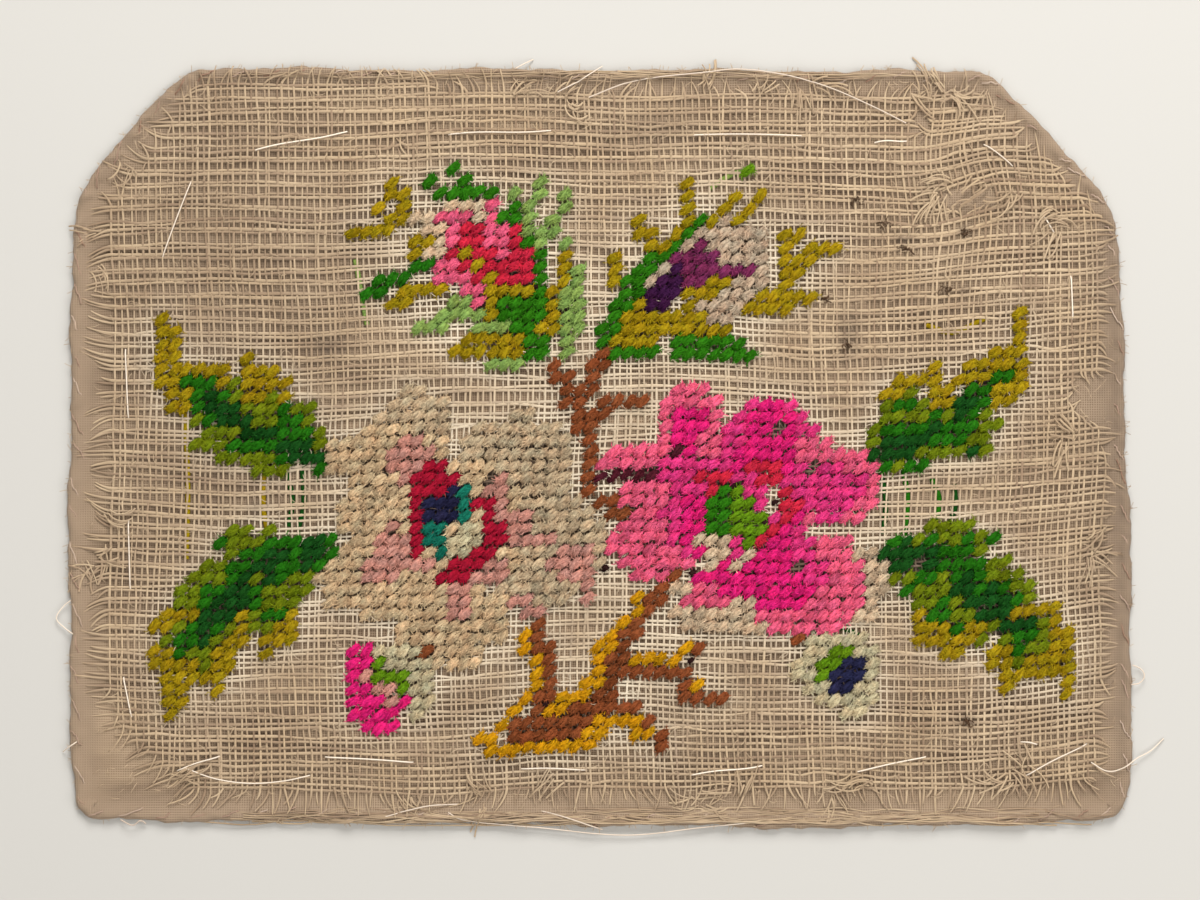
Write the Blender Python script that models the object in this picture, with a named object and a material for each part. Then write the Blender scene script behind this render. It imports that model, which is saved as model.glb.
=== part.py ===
"""Needlework sampler, flat: an open canvas with raised wool flowers, laid on a lining with a turned rim.

The lining is one sheet of fine cloth whose edge is turned in, which makes a rounded rim all round.
The canvas is a second sheet inside that rim. Its worked areas stand above the bare weave, because the
wool stitches are thick. Lengths here are millimetres unless a name says otherwise.
"""
import math

import bpy
import bmesh

METRES = 0.001                # one millimetre in Blender's metres
GAP = 0.3                     # clearance between the two sheets

CELL = 3.2                    # one stitch of the canvas, across and up
MIDDLE_COLUMN = 43.35         # the column and row of stitches that lie at the sampler's centre
MIDDLE_ROW = 31.0

LINING_THICKNESS = 1.0
CANVAS_THICKNESS = 0.9
WOOL_HEIGHT = 1.3             # how far a worked area stands above the bare canvas
WOOL_SHOULDER = 1.1           # width of its rounded edge, in stitches

RIM_STEP = 3.0                # spacing of the sections round the rim
GRID_STEP = 3.6               # spacing of the canvas's points

# The lining's outline, anticlockwise from the bottom left: place of each corner and how round it is.
LINING_CORNERS = [
    # across,  up,    rounding
    (-137.0, -96.9, 7.0),
    (-51.9, -97.3, 30.0),
    (57.3, -99.2, 30.0),
    (137.4, -97.0, 8.0),
    (138.9, -50.0, 30.0),
    (134.8, 61.2, 6.0),
    (102.0, 98.1, 5.0),
    (-107.8, 98.9, 4.0),
    (-123.4, 81.8, 12.0),
    (-137.2, 64.6, 5.0),
    (-138.9, -40.0, 40.0),
]

# The canvas's outline: it stops short of the rim, most of all on the left and at the bottom left.
CANVAS_CORNERS = [
    # across,  up
    (-113.0, -92.8),
    (131.8, -92.8),
    (134.0, -50.0),
    (130.0, 58.5),
    (99.3, 93.6),
    (-105.5, 93.6),
    (-130.0, 63.0),
    (-130.5, -40.0),
    (-130.0, -74.0),
]

# The rim's section: how far in from the outline, and how high, from its foot over the top and down.
RIM_SECTION = [
    # inwards, height
    (0.8, 0.0),
    (0.0, 1.1),
    (1.2, 2.2),
    (2.5, 1.5),
    (3.0, LINING_THICKNESS),
]

# Waviness of a hand-sewn edge: waves in one round of the rim, their depth and where they start.
EDGE_WAVES = [
    # waves, depth, phase
    (17, 0.40, 0.6),
    (41, 0.25, 2.1),
    (97, 0.12, 4.0),
]
OVERCAST_STITCHES = 150       # overcasting stitches round the rim, each of which pinches it
PINCH_DEPTH = 0.22

# Worked areas as ovals, in stitches: the petals of the two large flowers, and the rounded buds.
OVALS = [
    # across, up, half width, half height
    (27.0, 32.0, 5.3, 3.2),      # pale flower, upper left petal
    (36.5, 30.3, 5.0, 3.9),      # pale flower, upper right petal
    (25.0, 26.5, 4.0, 3.6),      # pale flower, left petal
    (26.0, 20.5, 5.0, 3.3),      # pale flower, lower left petal
    (32.5, 17.5, 5.6, 3.4),      # pale flower, lower petal
    (39.5, 22.5, 6.0, 4.0),      # pale flower, right petal
    (31.5, 24.5, 5.2, 5.2),      # pale flower, heart
    (50.4, 32.6, 3.3, 3.7),      # pink flower, upper left petal
    (57.3, 31.4, 4.2, 3.5),      # pink flower, upper petal
    (47.2, 28.2, 4.9, 3.1),      # pink flower, left petal
    (61.6, 27.9, 4.7, 3.4),      # pink flower, right petal
    (49.5, 22.7, 5.2, 3.1),      # pink flower, lower left petal
    (59.6, 21.1, 5.3, 4.0),      # pink flower, lower right petal
    (54.5, 25.5, 5.5, 5.6),      # pink flower, heart
    (55.5, 17.6, 6.0, 1.8),      # pale shade under the pink flower
    (65.0, 20.6, 1.9, 3.6),      # pale shade beside the pink flower
    (33.8, 46.3, 3.9, 4.2),      # left bud, petals
    (37.2, 41.4, 2.8, 3.9),      # left bud, cup
    (54.0, 45.6, 4.0, 3.9),      # right bud, pale petals
    (50.0, 44.4, 3.0, 2.8),      # right bud, dark petals
    (25.2, 11.5, 2.7, 3.6),      # small bud at the lower left
    (28.0, 13.0, 1.8, 2.2),
    (62.4, 12.9, 3.5, 3.1),      # small bud at the lower right
]

# Worked areas as tapering bands, in stitches: leaves, stems, sepals and the trunk, each as a row of
# stations with a half width at every one.
BANDS = {
    # (across, up, half width) of each station
    "leaf upper left": [(7.6, 41.8, 0.8), (8.0, 38.3, 1.3), (10.5, 35.6, 1.9), (15.0, 34.0, 3.3),
                        (18.5, 32.3, 2.5), (21.5, 30.0, 0.9)],
    "leaf lower left": [(20.4, 22.3, 2.2), (16.0, 21.5, 3.3), (12.0, 18.0, 3.7), (9.6, 14.0, 2.9),
                        (8.0, 9.9, 1.1)],
    "leaf upper right": [(77.6, 41.8, 0.8), (76.9, 38.3, 1.4), (74.2, 35.8, 2.5), (70.4, 33.9, 3.3),
                         (67.0, 32.1, 2.6), (65.2, 30.6, 0.9)],
    "leaf lower right": [(66.0, 22.3, 0.9), (70.5, 21.0, 3.2), (75.0, 18.4, 3.8), (79.4, 14.4, 2.8),
                         (82.0, 9.9, 0.9)],
    "trunk foot": [(33.8, 7.2, 1.1), (38.0, 7.9, 1.8), (43.0, 8.3, 1.6), (46.0, 8.7, 1.0),
                   (48.6, 6.8, 0.8)],
    "left branch": [(38.0, 9.5, 1.5), (39.2, 12.5, 1.4), (38.6, 17.4, 1.1)],
    "main branch": [(41.0, 9.5, 1.3), (45.0, 13.2, 1.5), (49.4, 20.4, 1.1)],
    "right branch": [(46.5, 13.1, 1.2), (50.6, 12.9, 1.3), (53.6, 10.3, 0.9)],
    "stem": [(39.9, 38.6, 0.8), (40.7, 34.0, 0.8), (42.0, 32.0, 0.8), (42.2, 27.5, 0.8),
             (45.2, 25.5, 0.9)],
    "right stem": [(44.0, 39.0, 0.6), (41.2, 34.4, 0.7)],
    "twig": [(42.2, 32.5, 0.6), (43.6, 34.3, 0.6), (46.4, 34.4, 0.6)],
    "left bud top": [(30.3, 52.0, 0.9), (34.0, 51.6, 0.9), (36.4, 50.2, 1.3), (38.6, 46.8, 1.4)],
    "left bud side": [(40.6, 39.5, 1.3), (40.6, 46.6, 1.1)],
    "left bud sepal": [(22.6, 48.0, 0.6), (27.4, 48.4, 1.0), (30.0, 47.4, 1.1)],
    "left bud lower sepals": [(26.6, 42.0, 0.6), (31.0, 44.3, 0.9), (34.0, 41.9, 0.9),
                              (28.2, 40.3, 0.6)],
    "left bud foot": [(31.2, 38.2, 0.6), (36.0, 39.2, 1.0), (38.5, 38.6, 1.3)],
    "right bud side": [(43.8, 39.8, 1.0), (47.0, 44.5, 1.5), (51.6, 49.8, 1.2), (50.9, 52.8, 0.7)],
    "right bud foot": [(45.2, 39.6, 1.6), (54.0, 39.9, 1.5), (55.6, 38.8, 0.9)],
    "right bud sepals": [(52.6, 49.6, 0.9), (55.6, 51.2, 1.0), (57.2, 51.8, 0.5)],
    "right bud tip": [(57.8, 43.0, 1.3), (58.2, 46.8, 1.0), (62.2, 47.8, 0.6)],
}

LINING_COLOUR = (0.45, 0.32, 0.22, 1.0)
CANVAS_COLOUR = (0.52, 0.39, 0.27, 1.0)


def remove_everything():
    """Take away whatever the scene holds."""
    for thing in list(bpy.data.objects):
        bpy.data.objects.remove(thing, do_unlink=True)


def cloth_material(name, colour):
    """A matt, non-metallic cloth finish."""
    material = bpy.data.materials.new(name)
    material.use_nodes = True
    shader = material.node_tree.nodes["Principled BSDF"]
    shader.inputs["Base Color"].default_value = colour
    shader.inputs["Roughness"].default_value = 0.9
    shader.inputs["Metallic"].default_value = 0.0
    return material


def rounded(corners, arc_points=6):
    """A closed line through the corners, each one replaced by a soft curve of its own rounding."""
    line = []
    for index, (across, up, rounding) in enumerate(corners):
        before = corners[index - 1]
        after = corners[(index + 1) % len(corners)]
        start = towards((across, up), before, rounding)
        end = towards((across, up), after, rounding)
        for step in range(arc_points + 1):
            t = step / arc_points
            line.append(tuple((1 - t) ** 2 * s + 2 * t * (1 - t) * c + t * t * e
                              for s, c, e in zip(start, (across, up), end)))
    return line


def towards(point, other, distance):
    """The place that lies this far from the point on the way to the other one."""
    run = math.dist(point, other[:2])
    share = distance / run
    return point[0] + (other[0] - point[0]) * share, point[1] + (other[1] - point[1]) * share


def evenly(line, step):
    """The closed line again, as points that are nearly the same distance apart."""
    lengths = [math.dist(line[i], line[(i + 1) % len(line)]) for i in range(len(line))]
    perimeter = sum(lengths)
    count = round(perimeter / step)
    points = []
    segment = 0
    passed = 0.0
    for index in range(count):
        goal = perimeter * index / count
        while passed + lengths[segment] < goal:
            passed += lengths[segment]
            segment += 1
        share = (goal - passed) / lengths[segment]
        start = line[segment]
        end = line[(segment + 1) % len(line)]
        points.append((start[0] + (end[0] - start[0]) * share, start[1] + (end[1] - start[1]) * share))
    return points


def inward(points, index):
    """The unit direction into the sheet at one point of an anticlockwise outline."""
    before = points[index - 1]
    after = points[(index + 1) % len(points)]
    run = math.dist(before, after)
    return -(after[1] - before[1]) / run, (after[0] - before[0]) / run


def edge_wave(share):
    """How far the hand-sewn edge wanders in from its line, at a share of the way round."""
    return sum(depth * math.sin(2 * math.pi * waves * share + phase) for waves, depth, phase in EDGE_WAVES)


def lining_outline():
    """The lining's wavy outline, centred on its own width and depth."""
    plain = evenly(rounded(LINING_CORNERS), RIM_STEP)
    wavy = []
    for index, (across, up) in enumerate(plain):
        in_x, in_y = inward(plain, index)
        depth = edge_wave(index / len(plain))
        wavy.append((across + in_x * depth, up + in_y * depth))
    middle_x = (min(p[0] for p in wavy) + max(p[0] for p in wavy)) / 2
    middle_y = (min(p[1] for p in wavy) + max(p[1] for p in wavy)) / 2
    return [(across - middle_x, up - middle_y) for across, up in wavy]


def make_lining():
    """The lining: rings of the rim's section round the outline, closed flat above and below."""
    outline = lining_outline()
    body = bmesh.new()
    rings = []
    for inwards, height in RIM_SECTION:
        ring = []
        for index, (across, up) in enumerate(outline):
            in_x, in_y = inward(outline, index)
            pinch = PINCH_DEPTH * math.sin(2 * math.pi * OVERCAST_STITCHES * index / len(outline))
            lift = pinch if height > LINING_THICKNESS else 0.0
            ring.append(body.verts.new(((across + in_x * inwards) * METRES, (up + in_y * inwards) * METRES,
                                        (height + lift) * METRES)))
        rings.append(ring)
    for lower, upper in zip(rings, rings[1:]):
        for index in range(len(outline)):
            after = (index + 1) % len(outline)
            body.faces.new((lower[index], lower[after], upper[after], upper[index]))
    body.faces.new(rings[-1])
    body.faces.new(list(reversed(rings[0])))
    return finished(body, "lining", cloth_material("fine plain-woven cloth", LINING_COLOUR))


def canvas_span(up):
    """Where the canvas's left and right edges lie at one height of its outline."""
    crossings = []
    for index, start in enumerate(CANVAS_CORNERS):
        end = CANVAS_CORNERS[(index + 1) % len(CANVAS_CORNERS)]
        low, high = sorted((start[1], end[1]))
        if high > low and low <= up <= high:
            share = (up - start[1]) / (end[1] - start[1])
            crossings.append(start[0] + (end[0] - start[0]) * share)
    return min(crossings), max(crossings)


def drift(across, up):
    """How far the loose weave wanders from a straight grid at one place, across and up."""
    sideways = 0.45 * math.sin(up / 21.0 + 0.7) + 0.25 * math.sin(up / 8.5 + across / 60.0)
    upwards = 0.50 * math.sin(across / 26.0 + 1.9) + 0.25 * math.sin(across / 11.0 - up / 45.0)
    return sideways, upwards


def oval_distance(column, row, oval):
    """Stitches from a place to an oval's edge, less than nothing inside it."""
    across, up, half_width, half_height = oval
    scaled = math.hypot((column - across) / half_width, (row - up) / half_height)
    return (scaled - 1.0) * min(half_width, half_height)


def band_distance(column, row, stations):
    """Stitches from a place to a tapering band's edge, less than nothing inside it."""
    nearest = math.inf
    for start, end in zip(stations, stations[1:]):
        run_x = end[0] - start[0]
        run_y = end[1] - start[1]
        share = ((column - start[0]) * run_x + (row - start[1]) * run_y) / (run_x ** 2 + run_y ** 2)
        share = min(1.0, max(0.0, share))
        half_width = start[2] + (end[2] - start[2]) * share
        away = math.hypot(column - start[0] - run_x * share, row - start[1] - run_y * share)
        nearest = min(nearest, away - half_width)
    return nearest


def wool_lift(across, up):
    """How far the wool raises the canvas's top at one place: a low plateau with rounded edges."""
    column = across / CELL + MIDDLE_COLUMN
    row = up / CELL + MIDDLE_ROW
    distance = min(min(oval_distance(column, row, oval) for oval in OVALS),
                   min(band_distance(column, row, stations) for stations in BANDS.values()))
    share = min(1.0, max(0.0, 0.5 - distance / WOOL_SHOULDER))
    return WOOL_HEIGHT * share * share * (3 - 2 * share)


def unevenness(across, up):
    """Slight rises and dips of cloth that has been handled."""
    return 0.14 * math.sin(across / 17.0 + up / 29.0) + 0.10 * math.sin(up / 12.0 - across / 37.0)


def make_canvas():
    """The canvas: a grid stretched to its outline, flat below and raised above where wool covers it."""
    lowest = min(corner[1] for corner in CANVAS_CORNERS)
    highest = max(corner[1] for corner in CANVAS_CORNERS)
    left_most = min(corner[0] for corner in CANVAS_CORNERS)
    right_most = max(corner[0] for corner in CANVAS_CORNERS)
    rows = round((highest - lowest) / GRID_STEP)
    columns = round((right_most - left_most) / GRID_STEP)
    underside = LINING_THICKNESS + GAP

    body = bmesh.new()
    top = []
    for row in range(rows + 1):
        up = lowest + (highest - lowest) * row / rows
        left, right = canvas_span(up)
        line = []
        for column in range(columns + 1):
            across = left + (right - left) * column / columns
            sideways, upwards = drift(across, up)
            height = underside + CANVAS_THICKNESS + unevenness(across, up) + wool_lift(across, up)
            line.append(body.verts.new(((across + sideways) * METRES, (up + upwards) * METRES,
                                        height * METRES)))
        top.append(line)
    for low, high in zip(top, top[1:]):
        for column in range(columns):
            body.faces.new((low[column], low[column + 1], high[column + 1], high[column]))

    edge = top[0] + [line[-1] for line in top[1:-1]] + top[-1][::-1] + [line[0] for line in top[-2:0:-1]]
    foot = [body.verts.new((vert.co.x, vert.co.y, underside * METRES)) for vert in edge]
    for index in range(len(edge)):
        after = (index + 1) % len(edge)
        body.faces.new((foot[index], foot[after], edge[after], edge[index]))
    body.faces.new(list(reversed(foot)))
    return finished(body, "canvas", cloth_material("open double-thread canvas", CANVAS_COLOUR))


def finished(body, name, material):
    """Turn a shape into a named object with its finish, smooth but for its sharp edges."""
    mesh = bpy.data.meshes.new(name)
    body.to_mesh(mesh)
    body.free()
    mesh.shade_smooth()
    mesh.set_sharp_from_angle(angle=math.radians(50))
    mesh.materials.append(material)
    piece = bpy.data.objects.new(name, mesh)
    bpy.context.collection.objects.link(piece)
    return piece


def main():
    """Build the sampler's two sheets."""
    remove_everything()
    make_lining()
    make_canvas()


main()
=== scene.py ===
# %% [markdown]
# # An old needlework sampler, seen from straight above
# The real thing is three layers of handwork. A fine lining cloth lies at the bottom, its edge turned in
# as a rounded rim. An open canvas, woven of paired threads, lies on it. Flowers and leaves are worked on
# the canvas in thick wool, one slanting stitch over each crossing of the threads.
# Everything is modelled as real strands, because the holes, the fraying and the plump stitches are what
# the eye reads. Lengths are millimetres until the moment a mesh is made.

# %% Load the frame
import math

import bmesh
import bpy
import numpy as np
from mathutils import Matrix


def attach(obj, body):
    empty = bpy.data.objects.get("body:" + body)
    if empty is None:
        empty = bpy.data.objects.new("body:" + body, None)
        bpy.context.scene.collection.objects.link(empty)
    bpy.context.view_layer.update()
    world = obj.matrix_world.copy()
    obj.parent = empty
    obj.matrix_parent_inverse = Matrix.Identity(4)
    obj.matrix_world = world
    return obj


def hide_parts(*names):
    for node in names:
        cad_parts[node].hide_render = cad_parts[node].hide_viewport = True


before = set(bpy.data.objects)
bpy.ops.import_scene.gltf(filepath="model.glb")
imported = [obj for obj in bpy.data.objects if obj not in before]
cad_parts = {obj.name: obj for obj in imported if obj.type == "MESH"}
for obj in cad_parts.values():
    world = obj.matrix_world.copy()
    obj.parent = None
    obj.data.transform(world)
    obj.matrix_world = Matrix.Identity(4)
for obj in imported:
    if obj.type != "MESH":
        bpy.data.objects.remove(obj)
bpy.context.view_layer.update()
METRES = 0.001

# %% [markdown]
# ## Camera, table and light
# The sampler was photographed flat from above on a copy stand, so the camera looks straight down with a
# long lens. The light is soft and comes mostly from behind the top edge: each thread casts a small
# shadow towards the bottom edge, and that is what makes the weave read.

# %% Camera
VIEW_WIDTH = 312.0            # what the picture spans across the cloth
LENS = 100.0
SENSOR = 36.0
CLOTH_HEIGHT = 2.5            # the level that the camera is focused on
camera_data = bpy.data.cameras.new("copy_stand_camera")
camera_data.lens = LENS
camera_data.sensor_width = SENSOR
camera_data.clip_end = 20.0
camera = bpy.data.objects.new("copy_stand_camera", camera_data)
camera.location = (0.1 * METRES, -0.6 * METRES, (CLOTH_HEIGHT + VIEW_WIDTH * LENS / SENSOR) * METRES)
bpy.context.scene.collection.objects.link(camera)
bpy.context.scene.camera = camera
bpy.context.scene.view_settings.view_transform = "Standard"
print("camera height, mm:", round(camera.location.z / METRES))


# %% Colour and node helpers
def linear(hex_colour):
    """An sRGB hex colour as the linear red, green, blue and alpha that a shader takes."""
    values = [int(hex_colour[start:start + 2], 16) / 255 for start in (1, 3, 5)]
    return [v / 12.92 if v <= 0.04045 else ((v + 0.055) / 1.055) ** 2.4 for v in values] + [1.0]


def plug(material, node, inputs):
    """Fill a node's inputs with values, or link other nodes' outputs to them."""
    for socket, value in inputs.items():
        if isinstance(value, bpy.types.NodeSocket):
            material.node_tree.links.new(value, node.inputs[socket])
        else:
            node.inputs[socket].default_value = value


def add_node(material, kind, settings, inputs):
    """Add one shader node, set its options, and fill its inputs."""
    node = material.node_tree.nodes.new("ShaderNode" + kind)
    for option, value in settings.items():
        setattr(node, option, value)
    plug(material, node, inputs)
    return node


def new_material(name):
    """An empty node material and its shader."""
    material = bpy.data.materials.new(name)
    material.use_nodes = True
    return material, material.node_tree.nodes["Principled BSDF"]


def facts_of(material, *names):
    """Sockets that read facts at each point: its place on the piece, or what the mesh has stored."""
    sockets = []
    for name in names:
        if name == "place":
            sockets.append(add_node(material, "TexCoord", {}, {}).outputs["Object"])
        else:
            sockets.append(add_node(material, "Attribute", {"attribute_name": name}, {}).outputs["Fac"])
    return sockets


# A colour Mix node has one factor, two colours and one result among its many sockets.
MIX_FACTOR, MIX_FIRST, MIX_SECOND, MIX_RESULT = 0, 6, 7, 2
BLEND = {"data_type": "RGBA"}
TINT = {"data_type": "RGBA", "blend_type": "MULTIPLY"}
print("helpers ready")

# %% Table and lights
TABLE_HALF = 1.5
table_mesh = bpy.data.meshes.new("table")
table_mesh.from_pydata([(-TABLE_HALF, -TABLE_HALF, 0), (TABLE_HALF, -TABLE_HALF, 0),
                        (TABLE_HALF, TABLE_HALF, 0), (-TABLE_HALF, TABLE_HALF, 0)], [], [(0, 1, 2, 3)])
table = bpy.data.objects.new("table", table_mesh)
bpy.context.scene.collection.objects.link(table)
paper, paper_shader = new_material("pale matt paper")
plug(paper, paper_shader, {"Base Color": linear("#bdbab4"), "Roughness": 0.9})
table_mesh.materials.append(paper)

LIGHTS = [
    # name, place in metres, size, watts
    ("soft window beyond the top edge", (0.04, 0.84, 0.72), 0.55, 14.0),
    ("soft fill at the right", (0.75, -0.14, 0.80), 0.7, 5.2),
    ("soft fill below", (-0.15, -0.78, 0.9), 0.8, 4.6),
]
for light_name, light_place, size, watts in LIGHTS:
    light_data = bpy.data.lights.new(light_name, "AREA")
    light_data.size = size
    light_data.energy = watts
    light = bpy.data.objects.new(light_name, light_data)
    light.location = light_place
    direction = -light.location.normalized()
    light.rotation_euler = direction.to_track_quat("-Z", "Y").to_euler()
    bpy.context.scene.collection.objects.link(light)

room = bpy.data.worlds.new("pale room")
room.use_nodes = True
room.node_tree.nodes["Background"].inputs["Color"].default_value = linear("#f4f1ec")
room.node_tree.nodes["Background"].inputs["Strength"].default_value = 0.42
bpy.context.scene.world = room
print(len(LIGHTS), "lights")

# %% [markdown]
# ## The canvas count
# The canvas repeats every 3.2 mm, eight stitches to the inch. Places on the sampler are given in columns
# and rows of stitches, and one function turns them into millimetres. A second function says how far the
# loose old weave has drifted from a straight grid, so that threads, holes and stitches drift together.

# %% Grid and drift
CELL = 3.2
MIDDLE_COLUMN = 43.35
MIDDLE_ROW = 31.0
COLUMNS = 87
ROWS = 62


def column_place(column):
    """Millimetres across from the middle of the sampler."""
    return CELL * (column - MIDDLE_COLUMN)


def row_place(row):
    """Millimetres up from the middle of the sampler."""
    return CELL * (row - MIDDLE_ROW)


TILT_START = 62.0             # right of here the rows climb
TILT_RATE = 0.00062
TANGLE = (95.0, 67.0, 9.0)    # a pulled place near the upper right corner: across, up, reach
TANGLE_TURN = 0.28


def drifted(across, up):
    """A straight grid's places moved to where the loose weave lies."""
    sideways = (0.50 * np.sin(up / 21.0 + 0.7) + 0.28 * np.sin(up / 8.5 + across / 60.0)
                + 0.22 * np.sin(across / 19.0 + up / 33.0))
    upwards = (0.62 * np.sin(across / 26.0 + 1.9 + up / 90.0) + 0.34 * np.sin(across / 11.0 - up / 38.0)
               + 0.30 * np.sin(across / 41.0 + up / 13.0))
    climb = TILT_RATE * np.maximum(0.0, across - TILT_START) ** 2 * np.clip((98.0 - up) / 30.0, 0.0, 1.0)
    pull = np.exp(-((across - TANGLE[0]) ** 2 + (up - TANGLE[1]) ** 2) / (2 * TANGLE[2] ** 2)) * TANGLE_TURN
    return (across + sideways - (up - TANGLE[1]) * pull,
            up + upwards + climb + (across - TANGLE[0]) * pull)


print("stitches to the inch:", round(25.4 / CELL, 1))

# %% [markdown]
# ## The outline and the turned rim
# The lining's outline has eleven corners, two of them cut off at a slant. The same rules as in the solid
# model make it, so the dressed edge lies on the solid one: round each corner, space the points evenly,
# and let the line wander as a hand-sewn edge does.

# %% Outline
LINING_CORNERS = [
    # across,  up,    rounding
    (-137.0, -96.9, 7.0),
    (-51.9, -97.3, 30.0),
    (57.3, -99.2, 30.0),
    (137.4, -97.0, 8.0),
    (138.9, -50.0, 30.0),
    (134.8, 61.2, 6.0),
    (102.0, 98.1, 5.0),
    (-107.8, 98.9, 4.0),
    (-123.4, 81.8, 12.0),
    (-137.2, 64.6, 5.0),
    (-138.9, -40.0, 40.0),
]
EDGE_WAVES = [
    # waves in one round, depth, phase
    (17, 0.40, 0.6),
    (41, 0.25, 2.1),
    (97, 0.12, 4.0),
    (173, 0.09, 1.0),
    (263, 0.06, 3.0),
]
RIM_STEP = 1.0


def towards(point, other, distance):
    """The place that lies this far from the point on the way to the other one."""
    share = distance / math.dist(point, other[:2])
    return point[0] + (other[0] - point[0]) * share, point[1] + (other[1] - point[1]) * share


def rounded(corners, arc_points=6):
    """A closed line through the corners, each one replaced by a soft curve."""
    line = []
    for index, (across, up, rounding) in enumerate(corners):
        start = towards((across, up), corners[index - 1], rounding)
        end = towards((across, up), corners[(index + 1) % len(corners)], rounding)
        for step in range(arc_points + 1):
            t = step / arc_points
            line.append([(1 - t) ** 2 * s + 2 * t * (1 - t) * c + t * t * e
                         for s, c, e in zip(start, (across, up), end)])
    return np.array(line)


def evenly(line, step, closed=False):
    """A line again, as points that are nearly the same distance apart."""
    if closed:
        line = np.vstack([line, line[:1]])
    along = np.concatenate([[0.0], np.cumsum(np.linalg.norm(np.diff(line, axis=0), axis=1))])
    count = max(2, round(along[-1] / step))
    goals = np.linspace(0.0, along[-1], count + (not closed), endpoint=not closed)
    return np.stack([np.interp(goals, along, line[:, axis]) for axis in range(line.shape[1])], axis=1)


def inward(outline):
    """The unit direction into the sheet at each point of an anticlockwise outline."""
    run = np.roll(outline, -1, axis=0) - np.roll(outline, 1, axis=0)
    turned = np.stack([-run[:, 1], run[:, 0]], axis=1)
    return turned / np.linalg.norm(turned, axis=1)[:, None]


plain_outline = evenly(rounded(LINING_CORNERS), RIM_STEP, closed=True)
round_share = np.arange(len(plain_outline)) / len(plain_outline)
edge_depth = sum(depth * np.sin(2 * np.pi * waves * round_share + phase)
                 for waves, depth, phase in EDGE_WAVES)
OUTLINE = plain_outline + inward(plain_outline) * edge_depth[:, None]
OUTLINE -= (OUTLINE.min(axis=0) + OUTLINE.max(axis=0)) / 2
INWARD = inward(OUTLINE)
print("outline, mm:", np.round(np.ptp(OUTLINE, axis=0), 1), "points:", len(OUTLINE))

# %% [markdown]
# ## Height of the lining
# Threads at the edge lie on the lining or climb over its rim, so one function gives the lining's top
# height anywhere. Inside, it is the flat cloth. Near the outline it follows the round section of the rim.

# %% Height of the lining
LINING_TOP = 1.0
RIM_WIDTH = 2.7
RIM_FOOT = 1.1                # the height where the rim's outer side turns over
RIM_TOP = 2.25


def depth_inside(across, up):
    """How far each place lies inside the outline, less than nothing outside it."""
    places = np.stack([np.atleast_1d(across), np.atleast_1d(up)], axis=1)
    best = np.full(len(places), np.inf)
    signed = np.zeros(len(places))
    coarse = slice(None, None, 3)
    for point, into in zip(OUTLINE[coarse], INWARD[coarse]):
        away = places - point
        distance = np.hypot(away[:, 0], away[:, 1])
        nearer = distance < best
        best = np.where(nearer, distance, best)
        signed = np.where(nearer, away @ into, signed)
    return signed


def lining_height(across, up):
    """Height of the lining's top at each place, the rounded rim included."""
    depth = np.clip(depth_inside(across, up), 0.0, None)
    swing = np.clip((depth - RIM_WIDTH / 2) / (RIM_WIDTH / 2), -1.0, 1.0)
    roll = RIM_FOOT + (RIM_TOP - RIM_FOOT) * np.sqrt(1.0 - swing ** 2)
    return np.where(depth < RIM_WIDTH, np.maximum(roll, LINING_TOP), LINING_TOP)


print("rim height in its middle, mm:", np.round(lining_height([0.0], [OUTLINE[:, 1].max() - 1.3]), 2))

# %% [markdown]
# ## Swept strands
# Every thread, ply and stitch is a strand: a line of points swept by a small oval. Blender curves could do
# it, but one joined mesh for hundreds of threads is lighter, and each strand can carry its own shade. The
# shade, how clean the cloth is, and its stains together with the painted shade under the stitches, are kept
# as attributes that the materials read.

# %% Strand builder
UP = np.array([0.0, 0.0, 1.0])


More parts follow.
